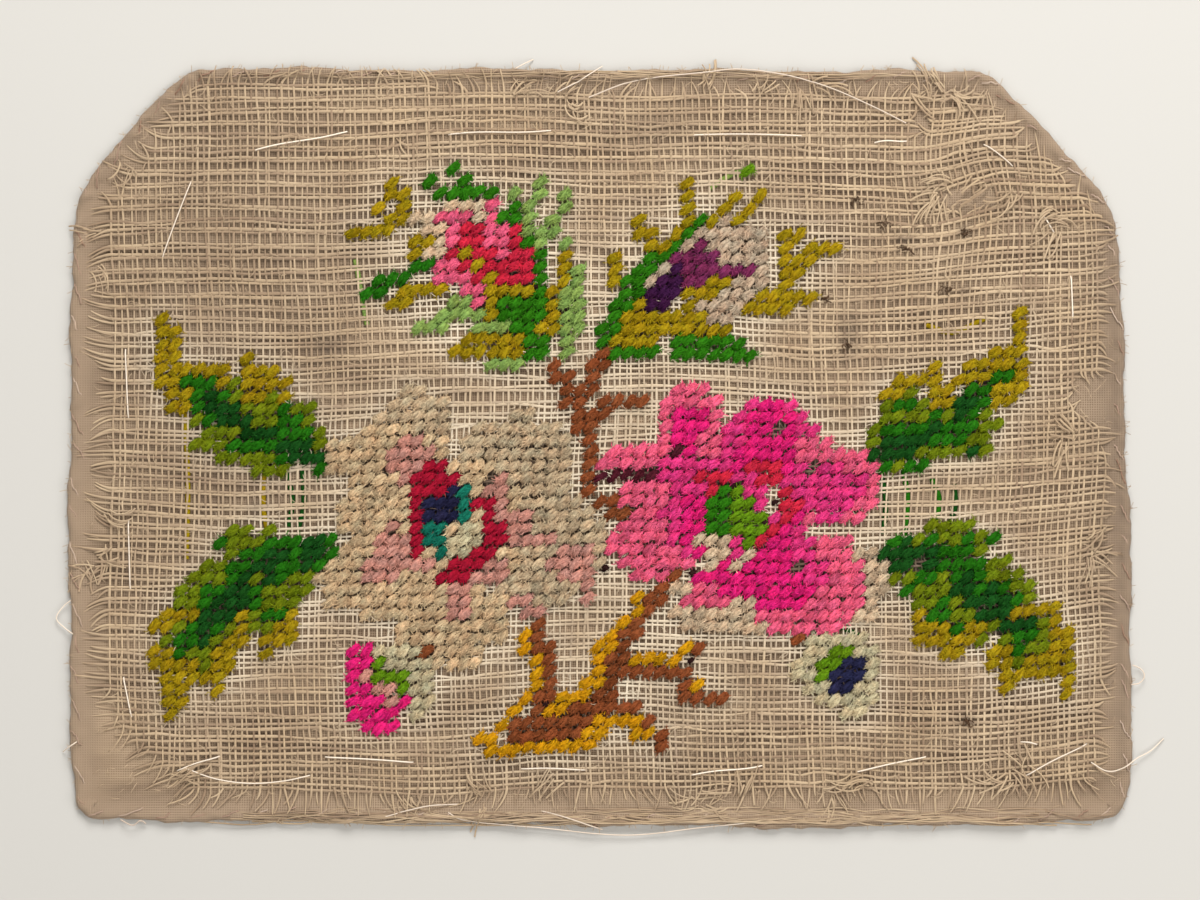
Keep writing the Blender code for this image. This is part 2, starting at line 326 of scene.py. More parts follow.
class Strands:
    """Collects strands, and joins them into one mesh."""

    def __init__(self, name):
        self.name = name
        self.points = []
        self.faces = []
        self.tones = []
        self.slots = []
        self.total = 0

    def add(self, line, half_width, half_height, sides=6, tone=0.5, slot=0, roof=False):
        """Sweep an oval along the line. Its half width and half height may change along the way.
        A roof is only the upper half of the oval, for threads whose underside lies on cloth."""
        line = np.asarray(line, float)
        count = len(line)
        run = np.gradient(line, axis=0)
        run /= np.linalg.norm(run, axis=1)[:, None] + 1e-12
        side = np.cross(np.broadcast_to(UP, run.shape), run)
        side /= np.linalg.norm(side, axis=1)[:, None] + 1e-12
        lift = np.cross(run, side)
        angle = np.linspace(0.0, np.pi, sides) if roof else 2 * np.pi * np.arange(sides) / sides
        wide = np.broadcast_to(half_width, count)[:, None, None]
        high = np.broadcast_to(half_height, count)[:, None, None]
        rings = (line[:, None, :] + side[:, None, :] * wide * np.cos(angle)[None, :, None]
                 + lift[:, None, :] * high * np.sin(angle)[None, :, None])
        corner = np.arange(sides - 1 if roof else sides)
        first = self.total + np.arange(count - 1)[:, None] * sides + corner[None, :]
        second = self.total + np.arange(count - 1)[:, None] * sides + (corner + 1)[None, :] % sides
        self.faces.append(np.stack([first, second, second + sides, first + sides], axis=2).reshape(-1, 4))
        self.points.append(rings.reshape(-1, 3))
        self.tones.append(np.repeat(np.broadcast_to(tone, count), sides))
        self.slots.append(np.full(first.size, slot))
        self.total += count * sides

    def ribbons(self, lines, half_width, tones, slot=0):
        """Many flat ribbons at once, all with the same number of points, for loose fibres."""
        many, count = lines.shape[:2]
        run = np.gradient(lines, axis=1)
        side = np.cross(np.broadcast_to(UP, run.shape), run)
        side /= np.linalg.norm(side, axis=2)[:, :, None] + 1e-12
        offset = side * np.asarray(half_width)[None, :, None]
        first = self.total + 2 * (np.arange(many)[:, None] * count + np.arange(count - 1)[None, :])
        self.faces.append(np.stack([first, first + 1, first + 3, first + 2], axis=2).reshape(-1, 4))
        self.points.append(np.stack([lines + offset, lines - offset], axis=2).reshape(-1, 3))
        self.tones.append(np.repeat(tones, 2 * count))
        self.slots.append(np.full(first.size, slot))
        self.total += 2 * many * count

    def piece(self, materials):
        """The joined mesh as a named piece that rides on the sampler."""
        points = np.concatenate(self.points)
        faces = np.concatenate(self.faces)
        mesh = bpy.data.meshes.new(self.name)
        mesh.vertices.add(len(points))
        mesh.vertices.foreach_set("co", (points * METRES).astype(np.float32).ravel())
        mesh.loops.add(faces.size)
        mesh.loops.foreach_set("vertex_index", faces.astype(np.int32).ravel())
        mesh.polygons.add(len(faces))
        mesh.polygons.foreach_set("loop_start", np.arange(0, faces.size, 4, dtype=np.int32))
        mesh.polygons.foreach_set("material_index", np.concatenate(self.slots).astype(np.int32))
        mesh.update(calc_edges=True)
        for material in materials:
            mesh.materials.append(material)
        mesh.shade_smooth()
        keep_facts(mesh, points, np.concatenate(self.tones))
        piece = bpy.data.objects.new(self.name, mesh)
        bpy.context.scene.collection.objects.link(piece)
        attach(piece, "root")
        print(self.name, "triangles:", 2 * len(faces))
        return piece


def keep_facts(mesh, points, tones):
    """Store on the mesh each point's shade, its cleanness, and its stains together with the painted shade
    under the stitches.
    """
    for fact, values in (("tone", tones), ("clean", cleanness(points[:, 0], points[:, 1])),
                         ("stain_and_shade", stains_and_shade(points[:, 0], points[:, 1]))):
        mesh.attributes.new(fact, "FLOAT", "POINT").data.foreach_set("value", values.astype(np.float32))


print("strand builder ready")

# %% [markdown]
# ## The pattern of wool
# The flowers are an ordinary posy of its time, drawn here afresh: petals are ovals, while leaves, stems
# and sepals are tapering bands. Each shape has a dye, and a later shape covers an earlier one. A stitch is
# worked wherever the middle of a canvas square falls inside a shape, as a worker follows a painted ground.
# The tables give a dye, and then an oval's place and half sizes or a band's stations.

# %% Drawing on the chart
chance = np.random.default_rng(1870)
across_of_cell, up_of_cell = np.meshgrid(np.arange(COLUMNS) + 0.5, np.arange(ROWS) + 0.5)
chart = np.full((ROWS, COLUMNS), "", dtype=object)
motif_of_cell = chart.copy()


def in_oval(across, up, half_width, half_height):
    """The squares whose middle lies in an oval."""
    return ((across_of_cell - across) / half_width) ** 2 + ((up_of_cell - up) / half_height) ** 2 <= 1.0


def in_band(*stations):
    """The squares whose middle lies in a tapering band. A station is across, up and half width."""
    inside = np.zeros(chart.shape, bool)
    for start, end in zip(stations, stations[1:] or stations):
        run = end[0] - start[0], end[1] - start[1]
        length = run[0] ** 2 + run[1] ** 2 or 1.0
        share = ((across_of_cell - start[0]) * run[0] + (up_of_cell - start[1]) * run[1]) / length
        share = np.clip(share, 0.0, 1.0)
        half_width = start[2] + (end[2] - start[2]) * share
        away = np.hypot(across_of_cell - start[0] - run[0] * share, up_of_cell - start[1] - run[1] * share)
        inside |= away <= half_width
    return inside


def work(motif, shapes):
    """Work a motif's shapes in turn."""
    for dye, *sizes in shapes:
        inside = in_band(*sizes) if isinstance(sizes[0], tuple) else in_oval(*sizes)
        chart[inside] = dye
        motif_of_cell[inside] = motif
    print(motif, "stitches:", int((motif_of_cell == motif).sum()))


# %% Leaves
# A leaf with a long olive tip that points up at the left edge.
work("leaf_upper_left", [
    ("moss", (9.6, 36.4, 1.2), (13.5, 33.8, 2.8), (17.5, 32.4, 2.8), (20.6, 31.0, 1.5)),
    ("moss", (11.0, 31.6, 0.8), (13.0, 31.0, 0.8)),
    ("moss", (15.8, 29.9, 0.7), (17.4, 29.8, 0.7)),
    ("grass", (9.2, 37.1, 0.7), (11.0, 35.5, 1.2), (14.5, 33.0, 1.6), (19.0, 31.3, 1.5), (21.5, 29.9, 0.9)),
    ("fir", (10.6, 35.9, 0.8), (12.2, 34.4, 0.8), (14.5, 33.1, 0.9), (17.0, 31.8, 1.0), (20.6, 30.6, 0.8)),
    ("moss", (15.8, 35.3, 1.1), (16.2, 33.8, 1.0)),
    ("moss", (18.2, 34.6, 0.7), (19.2, 34.2, 0.6)),
    ("olive", (7.5, 41.2, 0.6), (8.0, 40.0, 1.0), (8.0, 38.4, 1.0), (7.8, 36.6, 0.7), (8.6, 35.3, 0.9),
     (9.8, 34.2, 0.6)),
    ("olive", (9.9, 37.2, 0.7), (12.1, 37.2, 0.6), (12.8, 36.1, 0.5)),
    ("olive", (14.7, 38.2, 0.5), (14.8, 37.0, 0.8), (14.6, 35.4, 0.9)),
    ("olive", (14.6, 37.0, 0.6), (17.0, 36.9, 0.6), (17.6, 35.9, 0.5)),
])

# A broad leaf that hangs down at the left.
work("leaf_lower_left", [
    ("moss", (20.6, 22.0, 1.6), (16.5, 20.8, 3.2), (12.5, 17.9, 3.7), (9.6, 15.4, 1.8)),
    ("moss", (12.0, 23.1, 0.6), (14.0, 23.9, 0.8), (16.6, 23.9, 0.8)),
    ("moss", (16.3, 16.8, 1.3), (18.3, 18.2, 1.0)),
    ("grass", (21.0, 22.8, 1.2), (16.5, 21.8, 1.9), (12.5, 18.9, 1.9), (11.0, 16.0, 1.5),
     (10.0, 14.6, 0.8)),
    ("fir", (20.5, 22.9, 0.9), (17.5, 22.2, 1.1), (14.8, 20.4, 1.1), (12.7, 17.8, 1.0), (12.1, 16.6, 0.7)),
    ("grass", (15.7, 18.4, 0.7), (17.0, 17.8, 0.7)),
    ("moss", (15.6, 20.2, 0.7), (16.4, 19.4, 0.7)),
    ("moss", (9.6, 18.5, 0.7), (10.4, 19.8, 0.9), (11.8, 21.6, 0.8)),
    ("olive", (8.4, 17.3, 0.6), (10.4, 17.4, 0.6)),
    ("olive", (7.2, 16.4, 0.7), (8.4, 16.4, 0.6)),
    ("olive", (7.9, 14.4, 1.0), (9.0, 12.8, 1.4), (8.6, 10.8, 1.1), (8.1, 9.6, 0.6)),
    ("olive", (9.0, 13.0, 1.1), (12.2, 12.8, 1.2), (12.5, 11.4, 0.6)),
    ("olive", (14.3, 17.1, 0.6), (14.6, 16.1, 0.8), (13.4, 14.8, 0.8), (12.9, 13.8, 0.9)),
    ("olive", (18.7, 17.2, 0.7), (18.2, 16.0, 0.8), (16.6, 15.0, 0.9), (16.6, 14.1, 0.5)),
    ("moss", (8.6, 14.0, 0.5), (9.4, 14.0, 0.5)),
    ("moss", (11.3, 14.4, 0.5), (11.4, 13.2, 0.5)),
])

# A leaf whose long olive tip points up at the right edge.
work("leaf_upper_right", [
    ("moss", (75.0, 35.2, 1.5), (71.5, 33.0, 2.7), (68.0, 32.1, 2.8), (65.9, 30.8, 1.5)),
    ("moss", (68.4, 34.9, 0.9), (67.0, 34.0, 0.9)),
    ("moss", (70.5, 30.8, 0.8), (74.7, 31.2, 0.7)),
    ("moss", (68.6, 29.6, 0.6), (69.6, 29.6, 0.5)),
    ("moss", (73.0, 33.0, 0.8), (75.5, 32.8, 0.6)),
    ("grass", (76.0, 36.8, 0.7), (74.4, 35.5, 1.2), (72.5, 33.6, 1.4), (69.5, 32.2, 1.2), (66.4, 31.2, 1.4),
     (66.8, 29.6, 0.7)),
    ("grass", (71.0, 31.9, 0.6), (73.6, 32.0, 0.6)),
    ("fir", (73.6, 35.3, 0.8), (72.5, 33.7, 0.8), (70.5, 32.5, 0.8), (68.6, 31.4, 0.9), (65.9, 30.6, 0.8)),
    ("moss", (68.3, 33.6, 0.6), (71.3, 33.7, 0.5)),
    ("olive", (77.4, 41.2, 0.6), (77.4, 39.3, 0.8), (76.5, 37.9, 0.9), (74.2, 37.1, 0.9),
     (72.8, 36.8, 0.7)),
    ("olive", (77.5, 38.0, 0.7), (77.5, 35.6, 0.8), (75.6, 34.9, 0.7), (75.2, 34.3, 0.5)),
    ("olive", (70.2, 37.4, 0.5), (69.6, 36.4, 0.8), (68.0, 36.4, 0.6), (66.8, 35.6, 0.7)),
    ("olive", (70.3, 36.2, 0.7), (70.3, 34.8, 0.8), (71.1, 34.6, 0.5)),
    ("olive", (72.0, 35.7, 0.6)),
])

# A broad leaf that hangs down at the right.
work("leaf_lower_right", [
    ("moss", (67.2, 21.0, 1.2), (71.0, 20.6, 3.1), (75.0, 18.8, 3.5), (78.0, 16.2, 2.5)),
    ("moss", (70.9, 24.0, 0.7), (73.4, 23.9, 0.7), (74.8, 23.2, 0.8)),
    ("moss", (70.0, 17.6, 1.0), (72.0, 16.8, 1.0)),
    ("grass", (65.6, 22.3, 0.7), (68.5, 22.4, 1.4), (72.0, 21.4, 1.9), (75.2, 19.4, 1.9),
     (78.2, 16.4, 1.2)),
    ("fir", (65.8, 22.4, 0.7), (69.0, 21.7, 1.1), (72.8, 20.4, 0.9), (74.6, 18.6, 1.0), (78.2, 16.3, 0.9)),
    ("moss", (70.8, 20.4, 0.7), (71.6, 19.6, 0.7)),
    ("olive", (69.4, 16.8, 0.8), (70.0, 16.0, 0.9), (72.2, 15.4, 0.9), (71.8, 14.2, 0.5)),
    ("olive", (74.1, 17.0, 0.6), (73.8, 16.0, 0.8), (72.8, 15.4, 0.7)),
    ("olive", (77.9, 17.6, 0.6), (80.2, 17.5, 0.6)),
    ("olive", (81.0, 16.6, 0.7), (80.9, 14.4, 1.0), (81.4, 12.4, 0.9), (81.5, 10.8, 0.8), (82.0, 9.8, 0.5)),
    ("olive", (75.1, 14.9, 0.7), (76.3, 13.4, 1.0), (78.6, 12.7, 0.8), (81.0, 12.8, 0.8)),
    ("olive", (76.5, 12.2, 0.8), (76.8, 11.4, 0.7)),
    ("moss", (77.4, 14.4, 0.6), (77.4, 13.4, 0.5)),
])


def change_wool(of_dye, to_dye, share):
    """Here and there a stitch was worked with the next strand, a near shade of the same colour."""
    rows, columns = np.nonzero((chart == of_dye) & (chance.random(chart.shape) < share))
    chart[rows, columns] = to_dye


for of_dye, to_dye, share in (("moss", "grass", 0.18), ("grass", "fir", 0.14), ("grass", "moss", 0.16),
                              ("fir", "grass", 0.14)):
    change_wool(of_dye, to_dye, share)

# %% The pale flower
# A large undyed flower with a dark heart.
work("pale_flower", [
    ("stone", 28.2, 33.0, 3.0, 2.6),
    ("stone", 36.8, 30.4, 4.6, 3.2),
    ("ecru", 26.0, 30.5, 5.2, 2.2),
    ("ecru", 26.2, 25.6, 4.0, 4.2),
    ("ecru", 25.4, 20.3, 5.0, 3.0),
    ("ecru", 31.6, 17.0, 4.8, 3.0),
    ("ecru", (28.6, 15.2, 0.8), (31.8, 13.8, 1.0), (33.8, 14.0, 0.8)),
    ("stone", 39.2, 22.9, 5.6, 3.6),
    ("stone", 39.0, 26.4, 3.2, 1.6),
    ("stone", 38.4, 19.4, 3.2, 1.8),
    ("ecru", 32.0, 24.6, 5.8, 5.6),
    ("rose_beige", 28.2, 29.9, 2.4, 1.7),
    ("rose_beige", 34.8, 27.6, 1.2, 1.8),
    ("rose_beige", 36.6, 25.2, 1.5, 1.0),
    ("rose_beige", 26.7, 22.6, 1.4, 2.0),
    ("rose_beige", (24.4, 20.8, 0.7), (29.0, 21.5, 0.7)),
    ("rose_beige", 31.8, 18.2, 1.2, 1.7),
    ("rose_beige", 34.5, 20.9, 1.2, 1.2),
    ("rose_beige", (36.6, 18.7, 0.8), (38.3, 17.6, 0.8)),
    ("rose_beige", (36.4, 23.6, 0.7), (38.9, 23.7, 0.7)),
    ("rose_beige", 41.3, 21.6, 2.2, 1.5),
    ("rose_beige", (42.6, 19.8, 0.9), (42.3, 18.8, 0.7)),
    ("crimson", 29.7, 28.1, 2.1, 1.6),
    ("crimson", (28.8, 26.6, 0.9), (28.4, 24.6, 0.8), (28.2, 22.8, 0.6)),
    ("navy", 30.4, 25.6, 1.6, 1.5),
    ("navy", (31.4, 27.0, 0.6)),
    ("teal", (32.4, 27.0, 0.7), (32.5, 25.2, 0.8)),
    ("teal", (29.8, 23.7, 1.0), (31.2, 23.5, 0.9), (30.3, 22.5, 0.7)),
    ("sage", (33.8, 24.5, 0.7), (32.2, 23.4, 0.8), (32.0, 22.0, 1.0)),
    ("crimson", (34.0, 26.4, 0.6), (34.5, 24.9, 0.7), (35.4, 23.6, 0.7), (34.2, 22.4, 0.8),
     (33.0, 21.2, 0.8), (31.0, 20.6, 0.7)),
])

# %% The pink flower
# A large pink flower: pale rims to the petals, hot pink middles, and a green and scarlet heart.
work("pink_flower", [
    ("fawn", (50.6, 17.6, 1.2), (55.0, 17.6, 1.5), (59.5, 16.4, 1.0)),
    ("fawn", (60.4, 17.0, 0.8), (65.2, 18.4, 1.1), (65.9, 21.3, 1.0), (62.2, 23.4, 0.7)),
    ("fawn", (49.0, 19.4, 0.7), (54.5, 19.2, 0.8)),
    ("shell_pink", 50.4, 32.7, 2.9, 3.4),
    ("hot_pink", 50.3, 32.3, 1.6, 2.0),
    ("shell_pink", 53.2, 31.0, 1.9, 1.9),
    ("rose", 57.2, 31.4, 3.9, 3.7),
    ("hot_pink", 57.2, 31.8, 2.1, 3.0),
    ("shell_pink", 60.6, 30.6, 1.5, 1.5),
    ("shell_pink", 46.3, 29.3, 3.2, 1.5),
    ("shell_pink", 46.6, 26.7, 2.5, 1.4),
    ("shell_pink", 62.7, 27.8, 3.7, 3.2),
    ("rose", 61.9, 27.6, 2.9, 2.2),
    ("shell_pink", 48.4, 22.8, 4.3, 2.9),
    ("shell_pink", 60.8, 20.3, 4.3, 4.2),
    ("shell_pink", (56.6, 17.8, 0.8), (58.4, 16.9, 0.8)),
    ("rose", 54.6, 25.4, 5.5, 5.2),
    ("rose", (48.6, 28.6, 1.0), (51.4, 27.8, 2.0)),
    ("rose", (49.0, 25.4, 1.0), (51.6, 24.4, 1.6)),
    ("hot_pink", 58.0, 21.2, 3.0, 3.6),
    ("rose", (59.6, 24.0, 0.8), (60.9, 21.0, 0.8)),
    ("hot_pink", (51.2, 26.4, 1.0), (51.4, 23.6, 1.2)),
    ("hot_pink", 53.6, 20.9, 3.0, 1.6),
    ("hot_pink", (54.8, 29.8, 1.0), (56.6, 29.6, 1.0)),
    ("hot_pink", (58.6, 26.0, 0.8), (59.6, 25.4, 0.9)),
    ("shell_pink", 52.0, 18.9, 1.9, 0.9),
    ("scarlet", (51.9, 28.5, 0.7), (52.6, 27.4, 0.6), (53.9, 28.6, 0.6)),
    ("scarlet", (55.6, 29.2, 0.6), (57.4, 29.0, 0.7)),
    ("scarlet", 58.7, 26.4, 0.9, 1.4),
    ("scarlet", (56.3, 24.0, 0.7), (57.4, 24.4, 0.5)),
    ("fawn", (52.2, 23.2, 0.8), (53.6, 22.6, 0.8)),
    ("fawn", (52.3, 21.8, 0.6)),
    ("fawn", (55.4, 22.6, 0.7), (54.7, 21.4, 0.6)),
    ("emerald", 53.3, 25.8, 1.2, 2.0),
    ("apple", 55.4, 25.3, 1.2, 2.1),
    ("apple", (54.6, 27.2, 0.5)),
    ("maroon", (43.4, 28.4, 0.5), (47.5, 28.5, 0.5)),
    ("maroon", (49.4, 30.8, 0.5)),
])
MISSING = [(57, 27), (57, 26), (51, 21), (50, 20), (43, 20)]     # worn-out stitches: column, row
for column, row in MISSING:
    chart[row, column] = ""
    motif_of_cell[row, column] = ""

# %% The two buds at the top
# A red bud in a ragged green cup.
work("left_bud", [
    ("emerald", 37.3, 41.4, 2.4, 3.6),
    ("emerald", (35.4, 42.6, 0.9), (38.4, 44.4, 1.0)),
    ("emerald", (31.5, 53.5, 0.5)),
    ("emerald", (29.5, 52.5, 0.5)),
    ("emerald", (32.5, 52.5, 0.6)),
    ("emerald", (30.5, 51.5, 0.5), (34.5, 51.5, 0.5)),
    ("emerald", (36.4, 51.2, 0.7), (36.2, 49.6, 0.8), (38.2, 45.8, 0.8)),
    ("mint", (36.4, 51.8, 0.5), (37.4, 50.6, 0.6), (38.4, 47.2, 0.7)),
    ("mint", (38.6, 52.2, 0.5), (37.8, 50.8, 0.5)),
    ("mint", (40.5, 51.2, 0.5), (39.5, 49.4, 0.5), (38.7, 47.8, 0.6)),
    ("mint", (40.7, 47.0, 0.7), (41.0, 43.0, 0.8), (40.5, 39.0, 0.9)),
    ("mint", (28.3, 40.3, 0.6), (31.4, 41.4, 0.7), (33.8, 41.8, 0.8)),
    ("mint", (31.2, 42.6, 0.6), (32.6, 41.9, 0.6)),
    ("mint", (33.4, 40.4, 0.8), (35.2, 40.6, 0.8)),
    ("mint", (34.2, 38.2, 0.7), (36.6, 38.0, 0.6)),
    ("fawn", (28.8, 49.4, 0.8), (33.6, 50.1, 0.7)),
    ("fawn", (30.0, 48.2, 0.7), (30.0, 45.8, 0.7)),
    ("scarlet", 34.2, 46.6, 3.2, 2.8),
    ("scarlet", (34.0, 45.0, 1.4), (33.6, 43.6, 0.8)),
    ("scarlet", (36.6, 48.3, 0.8), (36.4, 45.2, 1.2), (37.5, 43.7, 0.7)),
    ("shell_pink", (31.0, 49.2, 0.8), (32.3, 49.2, 0.7)),
    ("shell_pink", (31.2, 47.9, 0.8)),
    ("shell_pink", (34.3, 50.3, 0.7), (34.6, 48.4, 0.9), (35.4, 47.0, 0.7)),
    ("shell_pink", (30.8, 45.0, 0.8), (31.8, 44.8, 0.7)),
    ("shell_pink", (32.4, 43.9, 0.8), (33.4, 42.7, 0.8)),
    ("olive", (32.2, 46.9, 0.6)),
    ("olive", (33.6, 45.9, 0.6)),
    ("olive", (34.3, 44.9, 0.6), (34.4, 42.0, 0.7)),
    ("olive", (35.4, 43.9, 0.6), (37.0, 43.6, 0.6)),
    ("olive", (39.7, 43.7, 0.6), (39.8, 41.0, 0.7), (38.6, 40.5, 0.6)),
    ("olive", (40.6, 46.3, 0.6), (40.5, 44.6, 0.6)),
    ("olive", (23.0, 48.3, 0.5), (26.5, 48.4, 0.5), (27.5, 49.4, 0.6)),
    ("olive", (26.5, 52.0, 0.5), (27.5, 51.4, 0.6), (27.5, 50.0, 0.6)),
    ("olive", (25.6, 50.4, 0.4), (26.4, 49.5, 0.5)),
    ("olive", (28.4, 46.7, 0.5), (29.4, 47.6, 0.6)),
    ("olive", (29.3, 45.8, 0.6)),
    ("mint", (28.2, 48.0, 0.5)),
    ("grass", (24.6, 43.4, 0.5), (26.4, 44.5, 0.6), (29.6, 45.4, 0.5)),
    ("olive", (26.6, 42.4, 0.5), (28.4, 43.5, 0.6), (31.0, 43.6, 0.5)),
    ("olive", (31.2, 38.1, 0.6), (32.6, 39.1, 0.8), (36.6, 38.9, 0.6)),
])

# A pale bud with a purple heart and a fringe of olive sepals.
work("right_bud", [
    ("lilac_grey", 54.2, 47.2, 3.1, 2.4),
    ("lilac_grey", 55.0, 44.2, 2.5, 2.3),
    ("lilac_grey", 52.3, 41.9, 1.7, 1.1),
    ("lilac_grey", (47.9, 44.8, 0.7), (49.8, 47.0, 0.9), (51.4, 48.4, 0.9)),
    ("plum", 51.4, 46.2, 2.0, 1.4),
    ("plum", (53.0, 45.7, 0.7), (55.0, 45.8, 0.6)),
    ("plum", 51.2, 44.9, 1.1, 0.8),
    ("aubergine", (48.0, 42.6, 1.0), (49.0, 44.2, 1.3), (49.8, 45.0, 0.7)),
    ("emerald", (43.9, 40.0, 0.8), (45.4, 42.6, 0.8), (46.5, 45.2, 0.8), (48.5, 46.9, 0.7),
     (50.5, 48.6, 0.6), (51.5, 49.5, 0.5)),
    ("emerald", (44.6, 38.5, 0.5), (47.6, 38.5, 0.5)),
    ("emerald", (49.5, 39.0, 0.8), (55.3, 38.7, 0.8)),
    ("olive", (46.2, 41.1, 1.0), (53.2, 40.7, 0.7)),
    ("olive", (46.5, 42.6, 0.6)),
    ("olive", (45.0, 39.7, 0.6), (47.2, 39.7, 0.6)),
    ("olive", (50.3, 42.6, 0.8), (51.7, 43.6, 0.7), (53.0, 44.3, 0.6)),
    ("olive", (44.8, 46.6, 0.7), (44.5, 44.6, 0.7)),
    ("olive", (46.6, 49.6, 0.7), (47.1, 48.3, 0.6), (48.4, 47.5, 0.8)),
    ("olive", (49.6, 48.5, 0.6)),
    ("olive", (50.5, 52.7, 0.5), (50.5, 49.5, 0.5)),
    ("olive", (52.6, 49.5, 0.5), (53.6, 50.5, 0.5), (54.5, 51.5, 0.5)),
    ("olive", (54.5, 49.5, 0.5), (55.5, 50.4, 0.5), (56.5, 51.5, 0.5)),
    ("olive", (58.3, 47.3, 0.8), (59.3, 48.7, 0.6)),
    ("olive", (58.2, 46.4, 0.7), (58.2, 44.6, 0.7)),
    ("olive", (59.6, 45.8, 0.6), (61.0, 47.5, 0.6), (62.3, 47.6, 0.6)),
    ("olive", (57.0, 43.5, 0.8), (60.3, 43.6, 0.6)),
    ("olive", (56.0, 42.3, 0.7), (58.8, 42.4, 0.7)),
    ("olive", (55.2, 41.4, 0.6)),
    ("apple", (55.4, 53.4, 0.6)),
])

# %% Stems, trunk and the two small buds
# Brown stems, and a gnarled trunk with a golden edge.
work("stems_and_trunk", [
    ("rust", (39.6, 37.8, 0.6), (40.4, 35.6, 0.7), (41.6, 33.2, 0.8), (42.5, 31.0, 0.6), (42.5, 27.6, 0.6),
     (43.6, 26.4, 0.7), (45.6, 25.6, 0.8)),
    ("rust", (43.8, 38.4, 0.6), (42.7, 36.6, 0.7), (41.6, 34.4, 0.6)),
    ("rust", (42.5, 33.0, 0.6), (43.7, 34.4, 0.7), (46.4, 34.5, 0.6)),
    ("rust", (36.4, 8.2, 1.0), (42.4, 8.4, 1.6), (46.0, 9.2, 0.7)),
    ("rust", (46.9, 8.3, 0.7), (48.6, 6.5, 0.7)),
    ("rust", (38.2, 9.8, 0.7), (39.6, 11.6, 0.6), (39.6, 13.6, 0.6), (38.6, 14.6, 0.6), (38.6, 16.6, 0.6)),
    ("rust", (42.8, 9.6, 0.8), (44.8, 12.0, 0.7), (45.2, 14.0, 0.6), (46.5, 16.0, 0.6), (47.4, 18.0, 0.6),
     (49.6, 20.6, 0.6)),
    ("rust", (46.2, 12.5, 0.6), (50.0, 12.5, 0.7), (50.8, 10.8, 0.7), (53.2, 10.3, 0.6)),
    ("rust", (51.3, 14.3, 0.6)),
    ("gold", (33.8, 7.5, 0.9), (34.8, 6.5, 0.9), (42.0, 6.4, 0.7), (43.4, 7.6, 0.6)),
    ("gold", (43.6, 8.1, 0.6), (46.4, 8.4, 0.6), (47.2, 7.2, 0.6)),
    ("gold", (35.6, 8.7, 0.5), (37.5, 10.5, 0.5), (38.5, 11.5, 0.5), (38.5, 13.4, 0.5), (37.5, 14.5, 0.5),
     (37.5, 15.5, 0.5)),
    ("gold", (39.6, 9.5, 0.6), (42.4, 10.9, 0.5), (43.6, 12.4, 0.5), (43.8, 14.4, 0.5), (45.5, 16.4, 0.5),
     (46.6, 18.4, 0.5)),
    ("gold", (47.0, 13.5, 0.6), (49.7, 13.4, 0.6), (50.3, 14.3, 0.6)),
    ("gold", (51.4, 11.4, 0.6)),
    ("rose_beige", (36.6, 18.7, 0.8), (38.3, 17.6, 0.8)),
])

# A pink bud at the lower left, and a sage and navy one at the lower right.
work("small_bud_left", [
    ("sage", (26.0, 14.3, 0.6), (29.2, 13.3, 1.2), (29.3, 11.6, 0.8), (28.3, 9.8, 0.7)),
    ("hot_pink", (24.2, 14.2, 1.1), (23.6, 11.6, 1.1), (24.3, 10.8, 0.9)),
    ("hot_pink", 25.4, 9.4, 2.1, 1.6),
    ("hot_pink", (27.2, 11.2, 0.8)),
    ("rose_beige", (24.4, 12.3, 0.6), (26.8, 10.9, 0.7)),
    ("apple", (25.4, 13.3, 0.7), (27.4, 12.0, 0.8)),
    ("rust", (29.5, 14.3, 0.6)),
])
work("small_bud_right", [
    ("sage", 62.4, 14.8, 2.9, 1.2),
    ("sage", 60.4, 13.4, 1.6, 1.3),
    ("sage", 61.6, 11.8, 1.4, 1.3),
    ("sage", 63.6, 10.6, 2.4, 1.2),
    ("sage", 65.4, 12.8, 0.9, 1.8),
    ("apple", (61.7, 12.9, 0.8), (63.3, 14.2, 0.8)),
    ("navy", (63.3, 12.0, 1.0), (64.4, 13.1, 0.9)),
    ("rust", (59.3, 15.3, 0.6)),
])
print("stitches to work:", int((chart != "").sum()))

# %% [markdown]
# ## Cleanness, stains, painted shade and torn places
# Canvas close to the wool has stayed paler and crisper than the rubbed ground further out, so a blurred
# copy of the chart says how near the wool is. The cloth right under the stitches is painted dark, as painted
# shade in the gaps between the stitches.
# Old spots and the long shades at the edges are soft ovals, and so are the few places where the threads
# are broken and the lining lies bare.

# %% Cleanness and stains
STAINS = [
    # across, up, half width, half height, strength
    (-63.6, 60.5, 8.0, 0.9, 0.60),
    (-72.0, 26.6, 7.0, 4.0, 0.50),
    (65.0, 29.0, 3.0, 7.0, 0.45),
    (79.4, 54.0, 2.2, 1.4, 0.75),
    (95.0, 41.0, 1.5, 1.2, 0.70),
    (89.5, 40.5, 1.2, 1.0, 0.45),
    (95.0, 56.5, 1.6, 1.2, 0.60),
    (95.5, -71.0, 2.4, 1.5, 0.80),
    (-89.6, -16.3, 4.0, 2.5, 0.45),
    (13.0, 82.5, 12.0, 4.0, 0.22),
    (-98.0, 30.0, 34.0, 70.0, 0.20),
    (138.0, 5.0, 9.0, 85.0, 0.30),
]


def blurred(values, rounds):
    """Average each square with its eight neighbours, again and again."""
    for _ in range(rounds):
        padded = np.pad(values, 1, mode="edge")
        rows = (padded[:-2] + padded[1:-1] + padded[2:]) / 3
        values = (rows[:, :-2] + rows[:, 1:-1] + rows[:, 2:]) / 3
    return values


worked = (chart != "").astype(float)
patchy = chance.uniform(0.35, 1.15, worked.shape)
near_wool = np.clip(blurred(1.9 * blurred(worked, 1) * patchy, 1), 0.0, 1.0)
shaded_under_wool = (blurred(worked, 1) > 0.99) * 1.0
UNDER_WOOL_SHADE = 1.3                    # how dark the painted shade on the cloth under the stitches is
